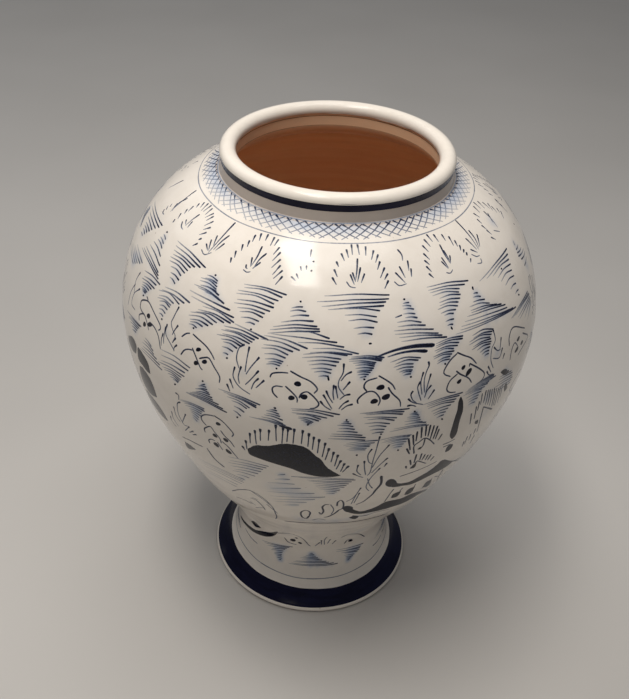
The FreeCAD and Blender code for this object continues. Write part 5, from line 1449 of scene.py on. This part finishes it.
def rings_inside(z_lo, z_hi, amp=0.38, pitch=8.5):
    """Finger rings left on the inside of the wall by throwing: one shallow spiral."""
    def move(th, pts):
        r, z = pts[:, 0][:, None], pts[:, 1][:, None]
        a = np.radians(th)[None]
        rin = np.interp(z, inner[:, 1], inner[:, 0])
        on = (np.abs(r - rin) < 0.05) & (z > z_lo) & (z < z_hi)
        fade = np.clip((z - z_lo) / 6, 0, 1) * np.clip((z_hi - z) / 6, 0, 1)
        w = amp * np.sin(2 * math.pi * z / pitch + a + 0.5 * np.sin(2 * a + z / 37)) + 0.3 * amp * np.sin(2 * math.pi * z / 3.1 + a)
        w = w * (0.75 + 0.25 * np.sin(z / 19 + 1.3 * np.sin(a)))
        d = np.where(on, w * fade, 0.0)
        return d * 0.9, np.zeros_like(d)
    return move


def keep(ob, material, slot, *nodes):
    ob.data.materials.append(material)
    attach(ob, "root")
    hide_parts(*nodes)
    return ob


fo0 = at(clay, 1.2)
hollow = spline([(61.5, 1.6), (60.2, 4.5), (54.0, 10.5), (49.6, 18.5), (47.2, 27.0), (46.6, FLOOR_UNDER)], 801)
foot = along(clay, 1.2, 38.0, 34)
foot += resample([(clay_r := at(clay, 38.0)[0], 38.0), (46.6, 38.0), (46.6, FLOOR_UNDER)], 2.0)[1:]
foot += along(hollow, 1.6, FLOOR_UNDER, 40)[::-1][1:]
foot += resample([(61.5, 1.6), (62.9, 0.0), (fo0[0] - 1.2, 0.0), fo0], 1.6)[1:-1]


def turned(th, pts):
    """Turning lines in the hollow under the foot."""
    r, z = pts[:, 0][:, None], pts[:, 1][:, None]
    a = np.radians(th)[None]
    rh = np.interp(z, hollow[:, 1], hollow[:, 0])
    on = (np.abs(r - rh) < 0.05) & (z > 2.2) & (z < FLOOR_UNDER - 1)
    d = np.where(on, 0.22 * np.sin(2 * math.pi * z / 2.3 + a) + 0.1 * np.sin(z * 1.1 + 2 * a), 0.0)
    return d, np.zeros_like(d)


keep(lathe("clay_foot", foot, 300, turned), bare_clay, "bare_clay", "foot_pedestal")

seam_top = 38.7
sp_r = 45.9
b_out, b_in = at(clay, 200.0), at(inner, 206.0)
b_mid = 0.5 * (b_out[0] + at(inner, 200.0)[0])
bowl = resample([(3.0, FLOOR_UNDER), (sp_r, FLOOR_UNDER), (sp_r, seam_top), at(clay, seam_top)], 5.0)[:-1]
bowl += along(clay, seam_top, 200.0, 60)
bowl += [(b_mid, 200.0), (b_mid, 206.0)]
bowl += along(inner, FLOOR_TOP, 206.0, 120)[::-1]
bowl += resample([(38.0, FLOOR_TOP), (3.0, FLOOR_TOP)], 4.0)[1:]


def bowl_move(th, pts):
    d, zz = rings_inside(50.0, 204.0, 0.42)(th, pts)
    r, z = pts[:, 0][:, None], pts[:, 1][:, None]
    a = np.radians(th)[None]
    floor = (np.abs(z - FLOOR_TOP) < 0.01) & (r < 37.0) & (r > 3.5)
    zz = np.where(floor, 0.3 * np.sin(r / 1.35 + a) * np.clip(r / 12, 0, 1), zz)
    return d, zz


# The inside walls of bowl, shoulder, collar and lip take the paler clay: painted light inside the cavity.
keep(lathe("clay_bowl", bowl, 300, bowl_move, pole0=True), painted_light_clay, "bare_clay", "lower_belly")

s_out, s_in = at(clay, 200.7), at(inner, 206.7)
m2 = b_mid + 0.7
si1 = (57.4, 306.1)
land_r, land_z = 65.1 - 0.8, 306.3 - 0.7
shoulder = along(clay, 200.7, 305.4, 56)
shoulder += [(land_r, land_z + 0.35), (si1[0] + 0.9, land_z + 0.35)]
shoulder += along(inner, 206.7, 306.1, 110)[::-1]
shoulder += [(m2, 206.7), (m2, 200.7)]
keep(lathe("clay_shoulder", shoulder, 300, rings_inside(208.0, 300.0, 0.4)), painted_light_clay, "bare_clay", "shoulder")

neck_r = land_r - 0.65
collar = resample([(57.4, 306.35), (si1[0] + 0.9, 306.6), (land_r, 306.6), (neck_r, 312.0), (57.2, 312.0), (57.4, 306.35)], 1.4)[:-1]


def collar_move(th, pts):
    r, z = pts[:, 0][:, None], pts[:, 1][:, None]
    a = np.radians(th)[None]
    on = (r < 57.6) & (z > 306.8) & (z < 311.6)
    return np.where(on, -0.1 * np.abs(np.sin(z * 1.3 + a)), 0.0), np.zeros_like(r * a)


keep(lathe("clay_collar", collar, 300, collar_move), painted_light_clay, "bare_clay", "neck_collar")

LIP_Z, LIP_R, GW, GH, CO = 315.75, 60.4, 4.6, 4.25, 0.7


def oval(w, h, a):
    return (LIP_R + w * math.cos(math.radians(a)), LIP_Z + h * math.sin(math.radians(a)))


A0, A1, A2 = -42.0, 4.0, 205.0
lip = [oval(GW - CO, GH - CO, A0 + (A2 - A0) * i / 40) for i in range(41)]
lip += resample([lip[-1], (57.2, 312.4), (neck_r, 312.4), lip[0]], 1.2)[1:-1]
keep(lathe("clay_lip", lip, 300), painted_light_clay, "bare_clay", "rim_roll")

# ------------------------------------------------------------- glaze coats
NT = 400


def coat(name, s0, s1, n_out, n_in, nt, material, lift=0.0, deep=0.8, edge=None, attr=False):
    """Closed skin on the wall between two arc lengths. edge(th) gives the two ends' waver in mm."""
    th = np.arange(nt) * 360.0 / nt
    so = np.linspace(s0, s1, n_out)
    si = np.linspace(s1, s0, n_in)
    rows = []
    e0, e1 = edge(th) if edge else (0 * th, 0 * th)
    for k, s in enumerate(so):
        f = k / (n_out - 1)
        ss = s + e0 * (1 - f) ** 6 + e1 * f**6
        h = lift
        if lift:
            h = lift if 0 < k < n_out - 1 else -0.03
        p, _ = place(th, ss, h)
        rows.append((p, th, ss))
    for s in si:
        f = (s - s0) / (s1 - s0)
        ss = s + e0 * (1 - f) ** 6 + e1 * f**6
        p, _ = place(th, ss, -deep)
        rows.append((p, th, ss))
    verts = np.concatenate([r[0] for r in rows])
    n = len(rows)
    faces = []
    i = np.arange(nt)
    j = (i + 1) % nt
    for k in range(n):
        k2 = (k + 1) % n
        faces.extend(np.stack([k * nt + i, k * nt + j, k2 * nt + j, k2 * nt + i], 1).tolist())
    at = {}
    if attr:
        at["wash"] = np.concatenate([wash_at(r[1], r[2]) for r in rows])
    ob = new_object(name, verts, faces, attrs=at, sharp=40)
    ob.data.materials.append(material)
    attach(ob, "root")
    return ob


body = coat("body_glaze", s_of(11.3), s_of(305.6), 196, 34, NT, painted, attr=True)
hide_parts("foot_glaze", "lower_belly_glaze", "shoulder_glaze")


def foot_waver(th):
    a = np.radians(th)
    return 0.10 * np.sin(7 * a) + 0.07 * np.sin(17 * a + 1), 0.22 * np.sin(5 * a + 2) + 0.14 * np.sin(13 * a) + 0.06 * np.sin(31 * a)


band = coat("cobalt_band_foot", s_of(3.4), s_of(11.9), 16, 5, 360, cobalt, lift=0.05, deep=0.78, edge=foot_waver)
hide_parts("cobalt_foot_band")
edge_ob = coat("foot_edge_white", s_of(1.2), s_of(3.6), 7, 3, 360, white, deep=0.8)
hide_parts("foot_edge_glaze")

# collar coat in a greyer white that is painted shade on its upright wall, the navy band under the lip, and the lip's
# white coat
ot1 = at(outer, 306.4)
t_c = (311.5 - 306.6) / (312.0 - 306.6)
cb_r = land_r + (neck_r - land_r) * t_c
ob_r = cb_r + CO
c_out = along(outer, 305.4, 306.4, 3)
collar_coat = c_out + resample([ot1, (ob_r, 311.8), (cb_r, 311.8), (land_r, 306.6), (land_r, land_z + 0.35), at(clay, 305.4), at(outer, 305.4)], 0.9)[1:-1]
# the collar coat takes the greyer white: painted shade on the upright wall
keep(lathe("collar_coat", collar_coat, 360), painted_shade_white, "grey_white_glaze", "collar_glaze")


def band_line(n):
    p = spline([(ob_r, 311.5), (ob_r - 0.02, 312.2), oval(GW, GH, -22.0), oval(GW, GH, A1 + 2.5)], 201)
    d = np.concatenate([[0], np.cumsum(np.hypot(*np.diff(p, axis=0).T))])
    t = np.linspace(0, d[-1], n)
    return list(zip(np.interp(t, d, p[:, 0]), np.interp(t, d, p[:, 1])))


outer_band = band_line(16)
top_band = oval(GW, GH, A1)
band_pts = outer_band + [oval(GW - CO, GH - CO, A1 + 2.0 + (A0 - A1 - 2.0) * i / 6) for i in range(7)]
band_pts += [(neck_r, 312.4), (neck_r, 312.0), (cb_r, 311.5)]
n_band = len(outer_band)


def band_move(th, pts):
    """The band stands a hair proud of the white and its two edges waver like a brushed line."""
    a = np.radians(th)[None]
    dr = np.zeros((len(pts), a.shape[1]))
    dz = np.zeros_like(dr)
    for k in range(n_band):
        f = k / (n_band - 1)
        lift = 0.06 if 0 < k < n_band - 1 else -0.02
        dr[k] += lift
        dz[k] += ((1 - f) ** 4 * (0.13 * np.sin(6 * a) + 0.08 * np.sin(19 * a + 1)) + f**4 * (0.11 * np.sin(5 * a + 1) + 0.06 * np.sin(14 * a)))[0]
    return dr, dz


keep(lathe("cobalt_band_collar", band_pts, 360, band_move), cobalt, "cobalt_glaze", "cobalt_collar_band")
rim_o = [oval(GW, GH, A1 - 4 + (A2 - A1 + 4) * i / 44) for i in range(45)]
rim_i = [oval(GW - CO, GH - CO, A2 + (A1 - 4 - A2) * i / 30) for i in range(31)]


def rim_move(th, pts):
    a = np.radians(th)[None]
    z = pts[:, 1][:, None]
    ang = np.degrees(np.arctan2(pts[:, 1] - LIP_Z, pts[:, 0] - LIP_R))[:, None]
    d = np.zeros((len(pts), a.shape[1]))
    inner_edge = np.zeros_like(d)
    # the glaze's ragged lower edge inside the mouth
    inner_edge[44] = inner_edge[45] = (0.35 * np.sin(4 * a) + 0.22 * np.sin(9 * a + 1) + 0.12 * np.sin(23 * a))[0]
    return d, inner_edge


keep(lathe("lip_glaze", rim_o + rim_i, 360, rim_move), white, "white_glaze", "rim_glaze")

for node in ("foot_slip_joint", "belly_slip_joint", "collar_slip_joint", "rim_slip_joint"):
    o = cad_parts[node]
    o.data.materials.clear()
    o.data.materials.append(slip_mat)

# ------------------------------------------------------------------- paint
sheets = {}


def sheet_for(group, extra=""):
    key = group + extra
    if key not in sheets:
        sheets[key] = Sheet(key)
    return sheets[key]


for n, st in enumerate(strokes):
    ribbon(sheet_for(st["group"]), st)
for th, s, a, b, ang, group in dots:
    dot(sheet_for(group), th, s, a, b, ang)
for top, bottom, group in fills:
    fill(sheet_for(group), top, bottom)
for key in sorted(sheets):
    sheets[key].build(painted)

# ------------------------------------------------------------------- stage
floor_me = bpy.data.meshes.new("floor")
floor_me.from_pydata([(-6, -6, 0), (6, -6, 0), (6, 6, 0), (-6, 6, 0)], [], [(0, 1, 2, 3)])
floor = bpy.data.objects.new("floor", floor_me)
bpy.context.scene.collection.objects.link(floor)
kf = Nodes("floor_paper")
kf.set(Base_Color=kf.mix(kf.span(kf.noise(3.0, 2.0), 0.3, 0.7), rgb(206, 202, 196), rgb(200, 196, 190)))
kf.set(Roughness=0.8, Specular_IOR_Level=0.2)
floor_me.materials.append(kf.mat)

world = bpy.data.worlds.new("studio")
bpy.context.scene.world = world
world.use_nodes = True
bg = world.node_tree.nodes["Background"]
bg.inputs["Color"].default_value = (0.93, 0.95, 1.0, 1.0)
bg.inputs["Strength"].default_value = 0.18


def area(name, loc, target, sx, sy, watts, colour, spin=0.0):
    ld = bpy.data.lights.new(name, "AREA")
    ld.shape = "RECTANGLE"
    ld.size, ld.size_y = sx, sy
    ld.energy = watts
    ld.color = colour
    ob = bpy.data.objects.new(name, ld)
    bpy.context.scene.collection.objects.link(ob)
    turn = Matrix.Identity(4)
    if target:
        turn = (Vector(target) - Vector(loc)).to_track_quat("-Z", "Y").to_matrix().to_4x4()
    ob.matrix_world = Matrix.Translation(Vector(loc)) @ turn @ Matrix.Rotation(spin, 4, "Z")
    return ob


area("ceiling_lamp", (-0.165, -0.237, 1.03), None, 0.185, 0.48, 4.05, (1.0, 0.955, 0.905), math.radians(4.7))
area("soft_top", (0.04, 0.05, 1.45), (0, 0.01, 0.2), 0.75, 0.75, 5.8, (1.0, 0.97, 0.94))
area("soft_fill", (-1.1, 0.9, 1.4), (0, 0, 0.2), 1.2, 1.2, 4.0, (0.93, 0.96, 1.0))
